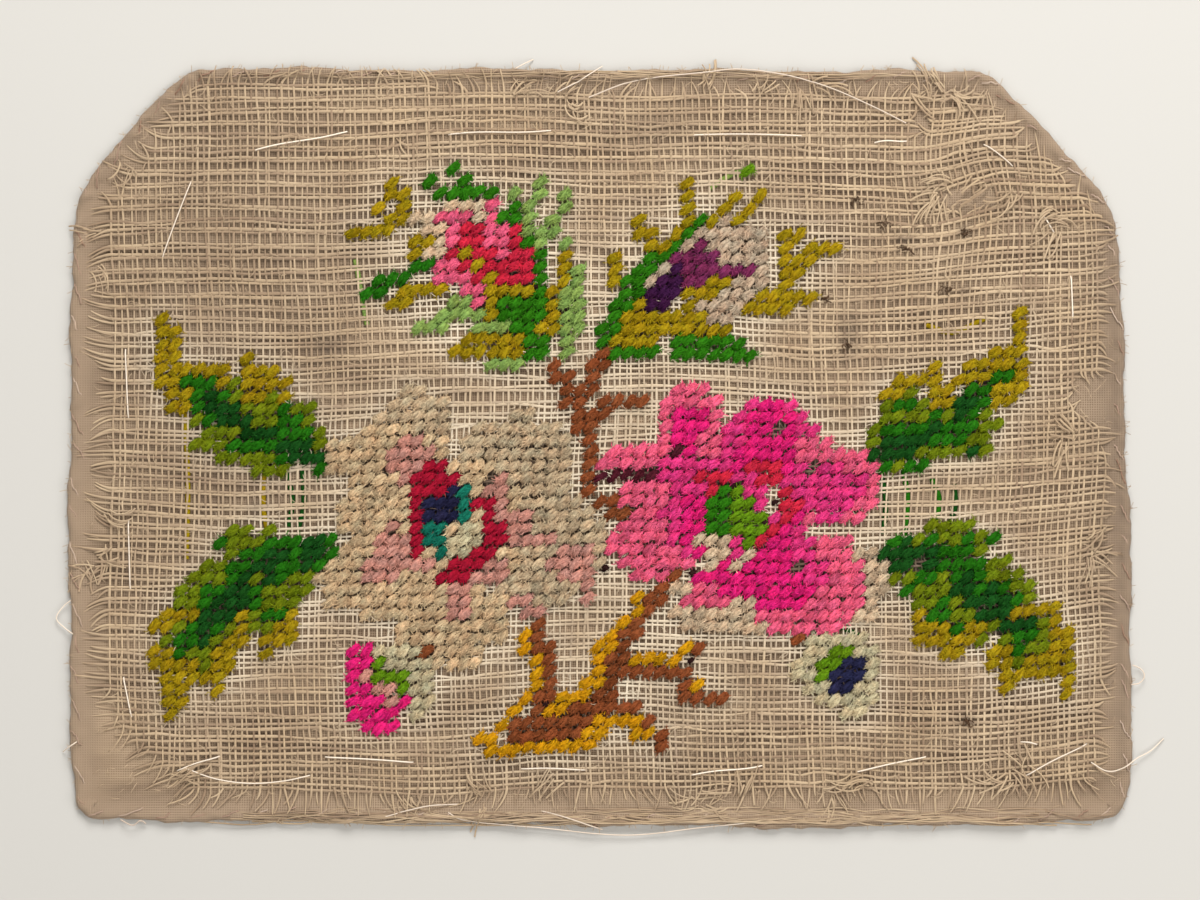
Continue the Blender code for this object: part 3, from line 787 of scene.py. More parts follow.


def cleanness(across, up):
    """Near 1 beside the wool, 0 out on the ground."""
    column = np.clip(across / CELL + MIDDLE_COLUMN - 0.5, 0.0, COLUMNS - 1.001)
    row = np.clip(up / CELL + MIDDLE_ROW - 0.5, 0.0, ROWS - 1.001)
    left = column.astype(int)
    low = row.astype(int)
    share = column - left
    rise = row - low
    lower = near_wool[low, left] * (1 - share) + near_wool[low, left + 1] * share
    upper = near_wool[low + 1, left] * (1 - share) + near_wool[low + 1, left + 1] * share
    return lower * (1 - rise) + upper * rise


def stains_and_shade(across, up):
    """How dark the old stains are at each place, with painted shade on the cloth under the stitches."""
    total = np.zeros(len(across))
    for middle, height, half_width, half_height, strength in STAINS:
        away = ((across - middle) / half_width) ** 2 + ((up - height) / half_height) ** 2
        total = np.maximum(total, strength * np.exp(-0.9 * away ** 1.4))
    column = np.clip((across / CELL + MIDDLE_COLUMN).astype(int), 0, COLUMNS - 1)
    row = np.clip((up / CELL + MIDDLE_ROW).astype(int), 0, ROWS - 1)
    # painted shade: the cloth under the stitches is made as dark as a heavy stain
    return np.maximum(total, UNDER_WOOL_SHADE * shaded_under_wool[row, column])


TORN = [
    # a place where the threads are broken: across, up, half width, half height
    (96.0, 65.0, 8.5, 3.4),
    (83.5, 84.0, 3.0, 4.6),
    (127.8, 12.5, 6.6, 7.2),
    (-52.0, 77.5, 1.6, 1.2),
    (40.0, -70.0, 1.5, 1.3),
]


def torn_away(across, up, reach=1.0):
    """True where the threads are broken."""
    torn = np.zeros(len(across), bool)
    for middle, height, half_width, half_height in TORN:
        torn |= ((across - middle) / half_width) ** 2 + ((up - height) / half_height) ** 2 < reach ** 2
    return torn


print("squares near wool:", int((near_wool > 0.3).sum()))

# %% [markdown]
# ## Lining cloth
# The lining is a fine plain-woven cotton, unbleached and gone tan. Its threads are about half a millimetre
# apart, close to what the picture can resolve, so they are drawn as a fine checked weave of lit and shaded
# threads in the material. Under the canvas the cloth is painted darker in streaks along the rows, as painted
# shade of the canvas above it. On the turned-in edge and where the canvas is torn it keeps its plain colour.

# %% Lining material
LINING_PITCH = 0.62           # the real threads are 0.53 apart; drawn a little coarser so that they show
WAVE_PERIOD = 0.314           # a wave node of scale 1 repeats at this distance
BLOT_SCALE = 420.0            # stains are made of blots about 2 mm across


def stained_and_shaded(material, place, stain_and_shade, colour, depth, stain_and_shade_colour):
    """The colour with old brown blots where the piece has stains, and with painted shade under the stitches.
    """
    blots = add_node(material, "TexNoise", {}, {"Vector": place, "Scale": BLOT_SCALE, "Detail": 3.0})
    blotted = add_node(material, "Math", {"operation": "MULTIPLY"}, {0: stain_and_shade, 1: blots.outputs["Fac"]})
    strength = add_node(material, "Math", {"operation": "MULTIPLY", "use_clamp": True},
                        {0: blotted.outputs[0], 1: depth})
    spotted = add_node(material, "Mix", BLEND, {MIX_FACTOR: strength.outputs[0], MIX_FIRST: colour,
                                                MIX_SECOND: linear(stain_and_shade_colour)})
    return spotted.outputs[MIX_RESULT]


def matt_fibre(material, shader, colour, roughness, sheen, relief, strength, depth):
    """Give the shader a colour, and the roughness, sheen and fine relief of fibres."""
    bump = add_node(material, "Bump", {},
                    {"Height": relief, "Strength": strength, "Distance": depth * METRES})
    plug(material, shader, {"Base Color": colour, "Roughness": roughness, "Sheen Weight": sheen,
                            "Normal": bump.outputs["Normal"]})


lining_cloth, lining_shader = new_material("unbleached plain-woven cotton")
lining_place, unshaded_rim_share, lining_stain_and_shade = facts_of(lining_cloth, "place", "tone", "stain_and_shade")
# painted shade: streaks along the rows darken the lining under the canvas, for the canvas's shadow
shadow_streak_place = add_node(lining_cloth, "Mapping", {"vector_type": "TEXTURE"},
                          {"Vector": lining_place, "Scale": (4.0, 1.0, 1.0)})
canvas_shadow_streaks = add_node(lining_cloth, "TexNoise", {},
                  {"Vector": shadow_streak_place.outputs[0], "Scale": 110.0, "Detail": 4.0, "Roughness": 0.6})
canvas_shadow_level = add_node(lining_cloth, "MapRange", {},
                       {"Value": canvas_shadow_streaks.outputs["Fac"], "From Min": 0.32, "From Max": 0.66})
yarns = [add_node(lining_cloth, "TexWave", {"bands_direction": way},
                  {"Vector": lining_place, "Scale": WAVE_PERIOD / (LINING_PITCH * METRES), "Distortion": 0.6,
                   "Detail": 1.0, "Detail Scale": 2.0}) for way in ("X", "Y")]
weave = add_node(lining_cloth, "Math", {"operation": "MAXIMUM"},
                 {0: yarns[0].outputs["Fac"], 1: yarns[1].outputs["Fac"]})
weave_level = add_node(lining_cloth, "MapRange", {},
                       {"Value": weave.outputs[0], "From Min": 0.15, "From Max": 0.75})
ground = add_node(lining_cloth, "Mix", BLEND, {MIX_FACTOR: canvas_shadow_level.outputs[0],
                                               MIX_FIRST: linear("#76614c"), MIX_SECOND: linear("#ac9579")})
rim_colour = add_node(lining_cloth, "Mix", BLEND,
                      {MIX_FACTOR: unshaded_rim_share, MIX_FIRST: ground.outputs[MIX_RESULT],
                       MIX_SECOND: linear("#97826b")})
weave_tint = add_node(lining_cloth, "Mix", BLEND,
                      {MIX_FACTOR: weave_level.outputs[0], MIX_FIRST: linear("#9c8873"),
                       MIX_SECOND: linear("#ffffff")})
shaded = add_node(lining_cloth, "Mix", TINT, {MIX_FACTOR: 1.0, MIX_FIRST: rim_colour.outputs[MIX_RESULT],
                                              MIX_SECOND: weave_tint.outputs[MIX_RESULT]})
# the stains' colour also paints shade on the lining under the stitches
lining_colour = stained_and_shaded(lining_cloth, lining_place, lining_stain_and_shade, shaded.outputs[MIX_RESULT], 2.2, "#54453a")
matt_fibre(lining_cloth, lining_shader, lining_colour, 0.92, 0.15, weave.outputs[0], 0.35, 0.12)
print("lining material ready")

# %% [markdown]
# ## Lining and its turned rim
# The rim is one rounded section carried round the outline. Overcasting pinches it every 8 mm, and the
# cloth is fuller in some places than in others and bunched at the slanted corners, so its width, height
# and creases change along the way. The flat cloth inside is cut into small squares, so that stains and a
# slight puckering can lie on it.

# %% Lining piece
PINCHES = 108
RIM_SECTION = [
    # depth in from the outline, height
    (1.00, 0.0), (0.40, 0.15), (0.08, 0.60), (0.0, 1.10), (0.12, 1.55), (0.45, 1.90), (0.95, 2.10),
    (1.50, 2.10), (2.05, 1.92), (2.60, 1.65), (3.20, 1.40), (3.90, 1.20), (4.80, LINING_TOP),
]
CREASES = [
    # creases in one round, height, how far they slant on the way in
    (131, 0.13, 0.9),
    (83, 0.12, -0.7),
    (211, 0.07, 1.6),
]


def lining_piece():
    """The lining cloth with its turned rim, a closed piece with a flat underside."""
    count = len(OUTLINE)
    share = np.arange(count) / count
    pinch = np.abs(np.sin(np.pi * PINCHES * share)) ** 0.6
    fullness = 1.0 + 0.07 * np.sin(2 * np.pi * 23 * share + 1.0) + 0.05 * np.sin(2 * np.pi * 57 * share)
    rim_scale = (0.86 + 0.14 * pinch) * fullness
    bunched = np.clip((OUTLINE[:, 1] - 50.0) / 12.0, 0.0, 1.0)
    bunched = bunched * np.clip((np.abs(OUTLINE[:, 0]) - 96.0) / 8.0, 0.0, 1.0)
    rings = []
    for depth, height in RIM_SECTION:
        level = np.full(count, height)
        shift = np.zeros(count)
        if height > LINING_TOP:
            level = LINING_TOP + (height - LINING_TOP) * rim_scale
            for creases, size, slant in CREASES:
                fold = size * (1.0 + 1.4 * bunched) * np.sin(2 * np.pi * creases * share + slant * depth)
                level = level + fold * min(1.0, height - 0.9)
            shift = 0.16 * (1.0 - pinch)
        rings.append(np.column_stack([OUTLINE + INWARD * (depth + shift)[:, None], level]))
    mesh = bpy.data.meshes.new("lining_cloth")
    work = bmesh.new()
    lines = [[work.verts.new(point * METRES) for point in ring] for ring in rings]
    for low_line, high_line in zip(lines, lines[1:]):
        for i in range(count):
            j = (i + 1) % count
            work.faces.new((low_line[i], low_line[j], high_line[j], high_line[i]))
    work.faces.new(list(reversed(lines[0])))
    top_face = work.faces.new(lines[-1])
    region = [top_face] + list(top_face.edges) + list(top_face.verts)
    for axis, reach in ((0, 138), (1, 99)):
        for level in np.arange(-reach, reach, 3.0):
            cut_at = [0.0, 0.0, LINING_TOP * METRES]
            cut_at[axis] = level * METRES
            normal = [0.0, 0.0, 0.0]
            normal[axis] = 1.0
            bmesh.ops.bisect_plane(work, geom=region, plane_co=cut_at, plane_no=normal)
            region = [f for f in work.faces if f.normal.z > 0.999 or f is top_face]
            region += list({e for f in region for e in f.edges}) + list({v for f in region for v in f.verts})
    work.to_mesh(mesh)
    work.free()
    return mesh


lining_mesh = lining_piece()
print("lining faces:", len(lining_mesh.polygons))

# %% Puckering, and the lining as a piece
lining_points = np.empty(len(lining_mesh.vertices) * 3, np.float32)
lining_mesh.vertices.foreach_get("co", lining_points)
lining_points = lining_points.reshape(-1, 3).astype(float) / METRES
inside_depth = depth_inside(lining_points[:, 0], lining_points[:, 1])
flat_part = (np.abs(lining_points[:, 2] - LINING_TOP) < 0.01) & (inside_depth > 5.0)
pucker = (0.10 * np.sin(lining_points[:, 0] / 5.3 + lining_points[:, 1] / 17.0)
          + 0.08 * np.sin(lining_points[:, 1] / 4.1 - lining_points[:, 0] / 23.0))
lining_points[:, 2] += np.where(flat_part, pucker, 0.0)
lining_mesh.vertices.foreach_set("co", (lining_points * METRES).astype(np.float32).ravel())
lining_mesh.update()
lining_mesh.materials.append(lining_cloth)
lining_mesh.shade_smooth()
laid_bare = 0.8 * torn_away(lining_points[:, 0], lining_points[:, 1])
# the tone is the share of the plain rim colour: 1 on the rim and where the canvas is torn, 0 under the
# canvas, where the painted shade lies
keep_facts(lining_mesh, lining_points, np.maximum(np.clip((9.0 - inside_depth) / 6.0, 0.0, 1.0), laid_bare))
lining = bpy.data.objects.new("lining_cloth", lining_mesh)
bpy.context.scene.collection.objects.link(lining)
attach(lining, "root")
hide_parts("lining")
print("lining top varies by, mm:", round(float(np.ptp(lining_points[flat_part, 2])), 2))

# %% [markdown]
# ## Canvas threads
# The canvas is hard, smooth cotton thread, sized and slightly shiny when new, now matt and tan. Each thread
# is a real strand that goes over one and under the next. Threads lie in pairs: the weft pairs keep close
# together, so dark dashes show between two threads and a row of holes between two pairs.

# %% Thread material
canvas_thread, thread_shader = new_material("aged cotton canvas thread")
thread_place, thread_tone, thread_clean, thread_stain_and_shade = facts_of(canvas_thread, "place", "tone", "clean",
                                                                 "stain_and_shade")
patches = add_node(canvas_thread, "TexNoise", {},
                   {"Vector": thread_place, "Scale": 55.0, "Detail": 5.0, "Roughness": 0.6})
fibres = add_node(canvas_thread, "TexNoise", {}, {"Vector": thread_place, "Scale": 2600.0, "Detail": 2.0})
plain_thread = add_node(canvas_thread, "Mix", BLEND, {MIX_FACTOR: thread_tone, MIX_FIRST: linear("#9b846c"),
                                                      MIX_SECOND: linear("#c9b394")})
cleaned_thread = add_node(canvas_thread, "Mix", BLEND,
                          {MIX_FACTOR: thread_clean, MIX_FIRST: plain_thread.outputs[MIX_RESULT],
                           MIX_SECOND: linear("#e6dac3")})
patch_tint = add_node(canvas_thread, "Mix", BLEND,
                      {MIX_FACTOR: patches.outputs["Fac"], MIX_FIRST: linear("#cdbfae"),
                       MIX_SECOND: linear("#ffffff")})
patched_thread = add_node(canvas_thread, "Mix", TINT,
                          {MIX_FACTOR: 1.0, MIX_FIRST: cleaned_thread.outputs[MIX_RESULT],
                           MIX_SECOND: patch_tint.outputs[MIX_RESULT]})
# the stains' colour also paints shade on the threads under the stitches
thread_colour = stained_and_shaded(canvas_thread, thread_place, thread_stain_and_shade, patched_thread.outputs[MIX_RESULT], 2.0,
                        "#63503f")
matt_fibre(canvas_thread, thread_shader, thread_colour, 0.85, 0.10, fibres.outputs["Fac"], 0.4, 0.08)
print("thread material ready")

# %% [markdown]
# ## Weaving
# The woven part stops short of the rim, with its top corners cut to match. Past the last crossing the
# threads run on as free ends that bend, come together and lie down on the lining, longest at the left.

# %% Weaving rules
WOVEN_CORNERS = [(-104.0, -90.2), (129.0, -90.2), (131.8, -50.0), (129.6, 57.0), (98.0, 91.4), (-20.0, 91.6),
                 (-50.0, 95.0), (-103.5, 95.0), (-128.0, 62.0), (-127.5, -40.0), (-126.5, -70.0)]
FIRST_ROW, LAST_ROW = 3, 60
FIRST_COLUMN, LAST_COLUMN = 3, 84
WEFT_CLOSE = 0.46             # half the distance between the two threads of a close weft pair
WARP_CLOSE = 0.67             # the same for the warps, which lie almost evenly
WARP_STEP = CELL / 2
FIRST_WARP = column_place(0.25)
WEAVE_LEVEL = 1.75
WEAVE_SWING = 0.19
WEFT_HALF = (0.33, 0.23)      # half width and half height of a thread
WARP_HALF = (0.25, 0.19)


def span_at(level, axis):
    """Where a straight line across the woven part begins and ends."""
    ends = []
    for index, start in enumerate(WOVEN_CORNERS):
        end = WOVEN_CORNERS[(index + 1) % len(WOVEN_CORNERS)]
        low, high = start[axis], end[axis]
        if min(low, high) <= level < max(low, high):
            share = (level - low) / (high - low)
            ends.append(start[1 - axis] + (end[1 - axis] - start[1 - axis]) * share)
    return (min(ends), max(ends)) if len(ends) == 2 else (0.0, 0.0)


def wandering(count, size, smooth):
    """A smooth random wander, about as large as size."""
    values = chance.normal(0.0, 1.0, count + 2 * smooth)
    kernel = np.ones(smooth) / smooth
    for _ in range(2):
        values = np.convolve(values, kernel, mode="same")
    values = values[smooth:smooth + count]
    return size * values / (values.std() + 1e-9)


def free_end(start, direction, length, bend, step=0.9, rise=0.0):
    """A free thread end: it leaves the weave, bends to one side and settles on what lies there."""
    room = max(0.8, float(depth_inside(start[0], start[1])[0]))
    length = min(length, 1.1 * room)
    count = max(3, int(length / step))
    t = np.linspace(0.0, 1.0, count + 1)[1:]
    along = np.outer(t * length, direction)
    across = np.outer(bend * t ** 1.8, (-direction[1], direction[0]))
    places = start[:2] + along + across
    rest = lining_height(places[:, 0], places[:, 1]) + 0.26 + rise * t
    settle = np.clip(t * length / 2.5, 0.0, 1.0)
    settle = settle * settle * (3 - 2 * settle)
    lift = 0.35 * np.sin(np.pi * t) * chance.random()
    return np.column_stack([places, start[2] * (1 - settle) + rest * settle + lift])


def kinks(count):
    """A few short places where a thread has been pushed aside."""
    place = np.arange(count)
    push = np.zeros(count)
    for _ in range(chance.poisson(count / 22)):
        size = chance.normal(0.0, 0.26)
        push += size * np.exp(-((place - chance.uniform(0, count)) / chance.uniform(1.2, 3.5)) ** 2)
    return push


def pair_gap(across, up):
    """Half the distance between the wefts of a pair: wider near the wool and along the bottom."""
    at_bottom = np.clip((-60.0 - up) / 16.0, 0.0, 1.0)
    at_right = np.clip((across - 98.0) / 15.0, 0.0, 1.0)
    return WEFT_CLOSE + 0.22 * at_bottom + 0.16 * at_right + 0.14 * cleanness(across, up)


def unbroken_parts(line, reach=1.0):
    """Cut a thread where it crosses a torn place."""
    torn = torn_away(line[:, 0], line[:, 1], reach)
    parts = np.split(np.arange(len(line)), np.flatnonzero(np.diff(torn.astype(int))) + 1)
    return [line[part] for part in parts if not torn[part[0]] and len(part) > 2]


def lay_thread(strands, low_end, part, high_end, half):
    """Join a woven stretch to its two free ends and sweep it. Hand-spun thread is uneven, thinner near the
    wool, and dwindles along both free ends."""
    line = np.vstack([low_end[::-1], part, high_end])
    wool_near = cleanness(line[:, 0], line[:, 1])
    thick = chance.uniform(0.84, 1.14) * (1.0 + wandering(len(line), 0.11, 5)) * (1.0 - 0.18 * wool_near)
    thick[:len(low_end)] *= np.linspace(0.45, 1.0, len(low_end))
    thick[-len(high_end):] *= np.linspace(1.0, 0.45, len(high_end))
    tone = np.clip(chance.normal(0.60, 0.20) + wandering(len(line), 0.20, 5), 0.0, 1.0)
    strands.add(line, half[0] * thick, half[1] * thick, sides=3, tone=tone, roof=True)


print("woven rows:", LAST_ROW - FIRST_ROW + 1, "columns:", LAST_COLUMN - FIRST_COLUMN + 1)


# %% Weft threads
def weave_wefts(strands):
    """The threads that run across, in close pairs, with long bent ends at the left."""
    number = 0
    for row in range(FIRST_ROW, LAST_ROW + 1):
        middle = row_place(row + 0.5)
        pair_wander = wandering(400, 0.22, 17)
        fan = 3.2 * np.clip((-58.0 - middle) / 25.0, 0.0, 1.0)
        left_bend = fan + 2.2 * math.sin(row / 2.3) * (1.0 - fan / 5.0) + chance.normal(0.0, 0.6)
        right_bend = 1.0 * math.sin(row / 1.7 + 1.0) + chance.normal(0.0, 0.6)
        left_run = chance.uniform(4.5, 8.5)
        start, end = span_at(middle, 1)
        first = math.ceil((start - FIRST_WARP) / WARP_STEP)
        crossing = np.arange(first, math.floor((end - FIRST_WARP) / WARP_STEP) + 1)
        across = FIRST_WARP + crossing * WARP_STEP
        gap = pair_gap(across, np.full(len(across), middle))
        for side in (-1, 1):
            lane = middle + side * gap + pair_wander[crossing] + wandering(len(crossing), 0.11, 5)
            lane = lane + kinks(len(crossing))
            over = np.where((crossing + number) % 2 == 0, 1.0, -1.0)
            places = np.column_stack(drifted(across, lane))
            parts = unbroken_parts(np.column_stack([places, WEAVE_LEVEL + over * WEAVE_SWING]))
            for index, part in enumerate(parts):
                last = index == len(parts) - 1
                left_length = left_run + chance.normal(0.0, 0.8) if index == 0 else chance.uniform(0.8, 3.5)
                right_length = chance.uniform(1.5, 5.5) if last else chance.uniform(0.8, 3.5)
                left = free_end(part[0], np.array([-1.0, 0.0]), left_length,
                                left_bend + side * chance.uniform(-0.7, 0.3))
                right = free_end(part[-1], np.array([1.0, 0.0]), right_length,
                                 right_bend + side * chance.uniform(-0.6, 0.6))
                lay_thread(strands, left, part, right, WEFT_HALF)
            number += 1


canvas_strands = Strands("woven_canvas")
weave_wefts(canvas_strands)
print("wefts:", len(canvas_strands.faces))


# %% Warp threads
def weave_warps(strands):
    """The threads that run up, evenly spaced, thinner than the wefts."""
    rows = np.arange(FIRST_ROW, LAST_ROW + 1)
    lanes = np.sort(np.concatenate([row_place(rows + 0.5) - 0.42, row_place(rows + 0.5) + 0.42]))
    numbers = np.arange(len(lanes))
    for column in range(FIRST_COLUMN, LAST_COLUMN + 1):
        for side in (-1, 1):
            across = column_place(column + 0.5) + side * WARP_STEP / 2
            start, end = span_at(across, 0)
            inside = (lanes > start) & (lanes < end)
            if inside.sum() < 8:
                continue
            up = lanes[inside]
            crossing = round((across - FIRST_WARP) / WARP_STEP)
            under = np.where((crossing + numbers[inside]) % 2 == 0, -1.0, 1.0)
            wool_pull = cleanness(np.full(len(up), across), up)
            fan = 3.5 * np.clip((-88.0 - across) / 16.0, 0.0, 1.0)
            apart = WARP_CLOSE + 0.10 * wool_pull - WARP_STEP / 2
            lane = across + side * apart + wandering(len(up), 0.15, 7) + chance.normal(0.0, 0.06)
            lane = lane + kinks(len(up))
            places = np.column_stack(drifted(lane, up))
            parts = unbroken_parts(np.column_stack([places, WEAVE_LEVEL + under * WEAVE_SWING]), 0.8)
            for index, part in enumerate(parts):
                last = index == len(parts) - 1
                low_length = chance.uniform(2.5, 7.0) if index == 0 else chance.uniform(0.8, 3.0)
                high_length = chance.uniform(2.5, 7.0) if last else chance.uniform(0.8, 3.0)
                low_end = free_end(part[0], np.array([chance.normal(0.0, 0.15), -1.0]), low_length,
                                   1.3 * math.sin(column / 3.1) + chance.normal(0.0, 1.0) - fan, rise=0.6)
                high_end = free_end(part[-1], np.array([chance.normal(0.0, 0.15), 1.0]), high_length,
                                    1.6 * math.sin(column / 4.3 + 1.0) + chance.normal(0.0, 1.3), rise=0.4)
                lay_thread(strands, low_end, part, high_end, WARP_HALF)


weave_warps(canvas_strands)
canvas = canvas_strands.piece([canvas_thread])

# %% [markdown]
# ## Wool
# The stitches are plump crewel wool of three loosely twisted plies, dyed with strong early dyes. Wool is
# matt and slightly fuzzy: the rough shader has hardly any highlight, and a fine streaked noise breaks the
# light up as loose fibres do. Old dye has faded unevenly, and each ply has its own shade, so a petal is
# never one flat colour.

# %% Wool dyes
STITCH_SLANT = math.radians(38.0)
DYES = {
    "moss": "#667404", "olive": "#977e05", "grass": "#1e6403", "fir": "#0f450d",
    "emerald": "#286c03", "apple": "#5c8208", "mint": "#7d974b", "sage": "#b9ab88",
    "teal": "#0e6853", "navy": "#21213f", "stone": "#b7a080", "ecru": "#c1a580",
    "rose_beige": "#bd8576", "crimson": "#9f0e2b", "scarlet": "#bd2038", "maroon": "#4c1421",
    "rose": "#d53375", "hot_pink": "#d61c6d", "shell_pink": "#dc5877", "fawn": "#c4aa8b",
    "rust": "#824423", "gold": "#c08904", "lilac_grey": "#b49d84", "plum": "#75284f",
    "aubergine": "#391039", "umber": "#2c1512", "soot": "#54402f",
}


def wool_material(dye):
    """Soft matt wool in one dye, with fine streaks that run the way the stitches slant."""
    material, shader = new_material("soft wool yarn, " + dye)
    place, tone = facts_of(material, "place", "tone")
    along_stitch = add_node(material, "Mapping", {"vector_type": "TEXTURE"},
                            {"Vector": place, "Rotation": (0.0, 0.0, STITCH_SLANT + 0.12),
                             "Scale": (3.5, 1.0, 1.0)})
    fuzz = add_node(material, "TexNoise", {},
                    {"Vector": along_stitch.outputs[0], "Scale": 2300.0, "Detail": 3.0, "Roughness": 0.65})
    colour = linear(DYES[dye])
    deep = [0.50 * value for value in colour[:3]] + [1.0]
    light = [min(1.0, 1.22 * value + 0.005) for value in colour[:3]] + [1.0]
    shade = add_node(material, "Mix", BLEND, {MIX_FACTOR: tone, MIX_FIRST: deep, MIX_SECOND: light})
    uneven = add_node(material, "TexNoise", {}, {"Vector": place, "Scale": 330.0, "Detail": 2.0})
    fade = add_node(material, "Mix", BLEND,
                    {MIX_FACTOR: uneven.outputs["Fac"], MIX_FIRST: (1.16, 0.94, 0.84, 1.0),
                     MIX_SECOND: (0.84, 1.06, 1.16, 1.0)})
    faded = add_node(material, "Mix", TINT, {MIX_FACTOR: 1.0, MIX_FIRST: shade.outputs[MIX_RESULT],
                                             MIX_SECOND: fade.outputs[MIX_RESULT]})
    fuzz_tint = add_node(material, "MapRange", {}, {"Value": fuzz.outputs["Fac"], "From Min": 0.3,
                                                    "From Max": 0.7, "To Min": 0.60, "To Max": 1.24})
    fuzzy = add_node(material, "Mix", TINT, {MIX_FACTOR: 1.0, MIX_FIRST: faded.outputs[MIX_RESULT],
                                             MIX_SECOND: fuzz_tint.outputs[0]})
    plug(material, shader, {"Specular IOR Level": 0.06, "Sheen Roughness": 0.6, "Sheen Tint": light})
    matt_fibre(material, shader, fuzzy.outputs[MIX_RESULT], 0.95, 0.08, fuzz.outputs["Fac"], 0.8, 0.25)
    return material


wool = {dye: wool_material(dye) for dye in DYES}
print(len(wool), "wool dyes")

# %% [markdown]
# ## Stitches
# A tent stitch rises out of one hole, crosses the threads at a slant and dives into the next hole. Three
# plies are twisted round its middle line, about a fifth of a turn in the length of a stitch, and short
# fibres stand off their tops and blur them. Hand work is uneven, so each stitch has its own place, slant,
# length and shade, and a few are worn away or eaten by moths.

# %% Working the stitches
STITCH_HALF = 2.00            # half the length of a stitch seen from above
STITCH_LOW = 1.45
STITCH_CREST = 2.80
PLIES = 3
PLY_OUT = 0.50                # from the stitch's middle line to the middle of a ply
PLY_HALF = 0.67
WORN_SHARE = 0.004
PLY_TWIST = -0.7              # how far a ply turns from the middle of a stitch to its end, in radians
HAIRS = 56                    # loose fibres on each stitch
HAIR_HALF = (0.09, 0.10, 0.04)     # half a fibre's width at its root, middle and tip


def work_stitch(strands, column, row, slot, fullness_of_yarn=1.0, reach=1.0):
    """One slanting stitch over the crossing in this square, and the loose fibres on it."""
    middle = column_place(column + 0.5), row_place(row + 0.5)
    middle = np.array([float(v) for v in drifted(*middle)]) + chance.normal(0.0, 0.15, 2)
    slant = STITCH_SLANT + chance.normal(0.0, 0.12)
    half = STITCH_HALF * reach * chance.uniform(0.92, 1.08)
    crest = STITCH_CREST + chance.normal(0.0, 0.10)
    t = np.array([-1.0, -0.72, -0.25, 0.25, 0.72, 1.0])
    arch = 1.0 - np.abs(t) ** 3.0
    axis = np.column_stack([middle[0] + math.cos(slant) * half * t, middle[1] + math.sin(slant) * half * t,
                            STITCH_LOW + (crest - STITCH_LOW) * arch])
    sideways = np.array([-math.sin(slant), math.cos(slant), 0.0])
    fullness = fullness_of_yarn * chance.uniform(0.92, 1.08) * (0.42 + 0.58 * np.sqrt(1.0 - 0.97 * t ** 4))
    tone = np.clip(0.55 + chance.normal(0.0, 0.14), 0.0, 1.0)
    turn = chance.uniform(0.0, 2 * np.pi)
    for ply in range(PLIES):
        angle = turn + 2 * np.pi * ply / PLIES + PLY_TWIST * t
        out = PLY_OUT * fullness
        line = axis + sideways * (out * np.cos(angle))[:, None] * 1.25
        line[:, 2] += out * np.sin(angle) * 0.50
        strands.add(line, PLY_HALF * fullness, PLY_HALF * 0.75 * fullness, sides=5, slot=slot,
                    tone=np.clip(tone + chance.normal(0.0, 0.10), 0.0, 1.0))
    spot, off = chance.uniform(-1.0, 1.0, (2, HAIRS))
    heading = slant + chance.normal(0.15, 0.50, HAIRS) + np.pi * chance.integers(0, 2, HAIRS)
    length = (fullness_of_yarn * chance.uniform(0.5, 1.6, HAIRS))[:, None] * np.array([0.0, 0.5, 1.0])
    turned = heading[:, None] + chance.normal(0.0, 0.5, (HAIRS, 1)) * length
    root = middle + np.outer(spot * half, (math.cos(slant), math.sin(slant)))
    root = root + np.outer(off * 1.1 * fullness_of_yarn, sideways[:2])
    top = crest + 0.80 * fullness_of_yarn - 0.80 * off ** 2 - 1.10 * np.abs(spot) ** 3
    top = top + chance.uniform(-0.12, 0.10, HAIRS)
    hairs = np.stack([root[:, :1] + length * np.cos(turned), root[:, 1:] + length * np.sin(turned),
                      top[:, None] - np.array([0.15, 0.0, 0.25])], axis=2)
    shades = np.clip(tone + chance.normal(0.05, 0.32, HAIRS), 0.0, 1.0)
    strands.ribbons(hairs, HAIR_HALF, shades, slot)


motif_names = [name for name in sorted(set(motif_of_cell.ravel())) if name]
for motif in motif_names:
    cells = np.argwhere(motif_of_cell == motif)
    dyes = sorted({chart[row, column] for row, column in cells})
    strands = Strands(motif + "_stitches")
    for row, column in cells:
        dye = chart[row, column]
        if chance.random() > WORN_SHARE:
            work_stitch(strands, column, row, dyes.index(dye), 0.75 if dye == "maroon" else 1.0)
    piece = strands.piece([wool[dye] for dye in dyes])
print("motifs:", motif_names)

# %% [markdown]
# ## Remnants of dark wool
# Black and brown outlines were dyed with iron, which eats wool. Only short tufts of them are left between
# the petals. They are the same stitches, made thin and less than half as long, in a very dark dye.

# %% Remnants of dark wool
REMNANTS = [
    # column and row where a little of an old dark outline is left
    (33.9, 23.7), (36.1, 23.2), (34.4, 22.4), (32.5, 20.4), (42.3, 23.0), (44.0, 21.0), (33.4, 21.2),
    (29.0, 21.6), (45.3, 21.5), (51.0, 20.8), (48.5, 20.7), (50.5, 25.9), (54.2, 27.8), (57.6, 26.7),
    (56.8, 25.1), (49.0, 30.5), (54.3, 19.5), (38.2, 44.0), (34.0, 42.3), (33.5, 47.3), (50.4, 44.7),
    (50.8, 13.6), (43.9, 8.9), (41.4, 7.2), (39.1, 9.9),
]


def leave_remnants():
    """A short dark tuft at each of these places."""
    strands = Strands("dark_remnants")
    for column, row in REMNANTS:
        work_stitch(strands, column - 0.5, row - 0.5, 0, chance.uniform(0.45, 0.6), 0.45)
    return strands.piece([wool["umber"]])


remnants = leave_remnants()

# %% [markdown]
# ## Carried yarns, pulled ends and lint
# A worker carries wool behind the canvas from one leaf to the next, and it shows through the holes. An
# old canvas also sheds: single fibres lie on it, pulled-out thread ends lie together in curled locks, lint
# stands off the rim, and dirt sits in the weave. Each kind is many small strands in one joined mesh, placed
# by chance inside its own area, because no two of them are alike.

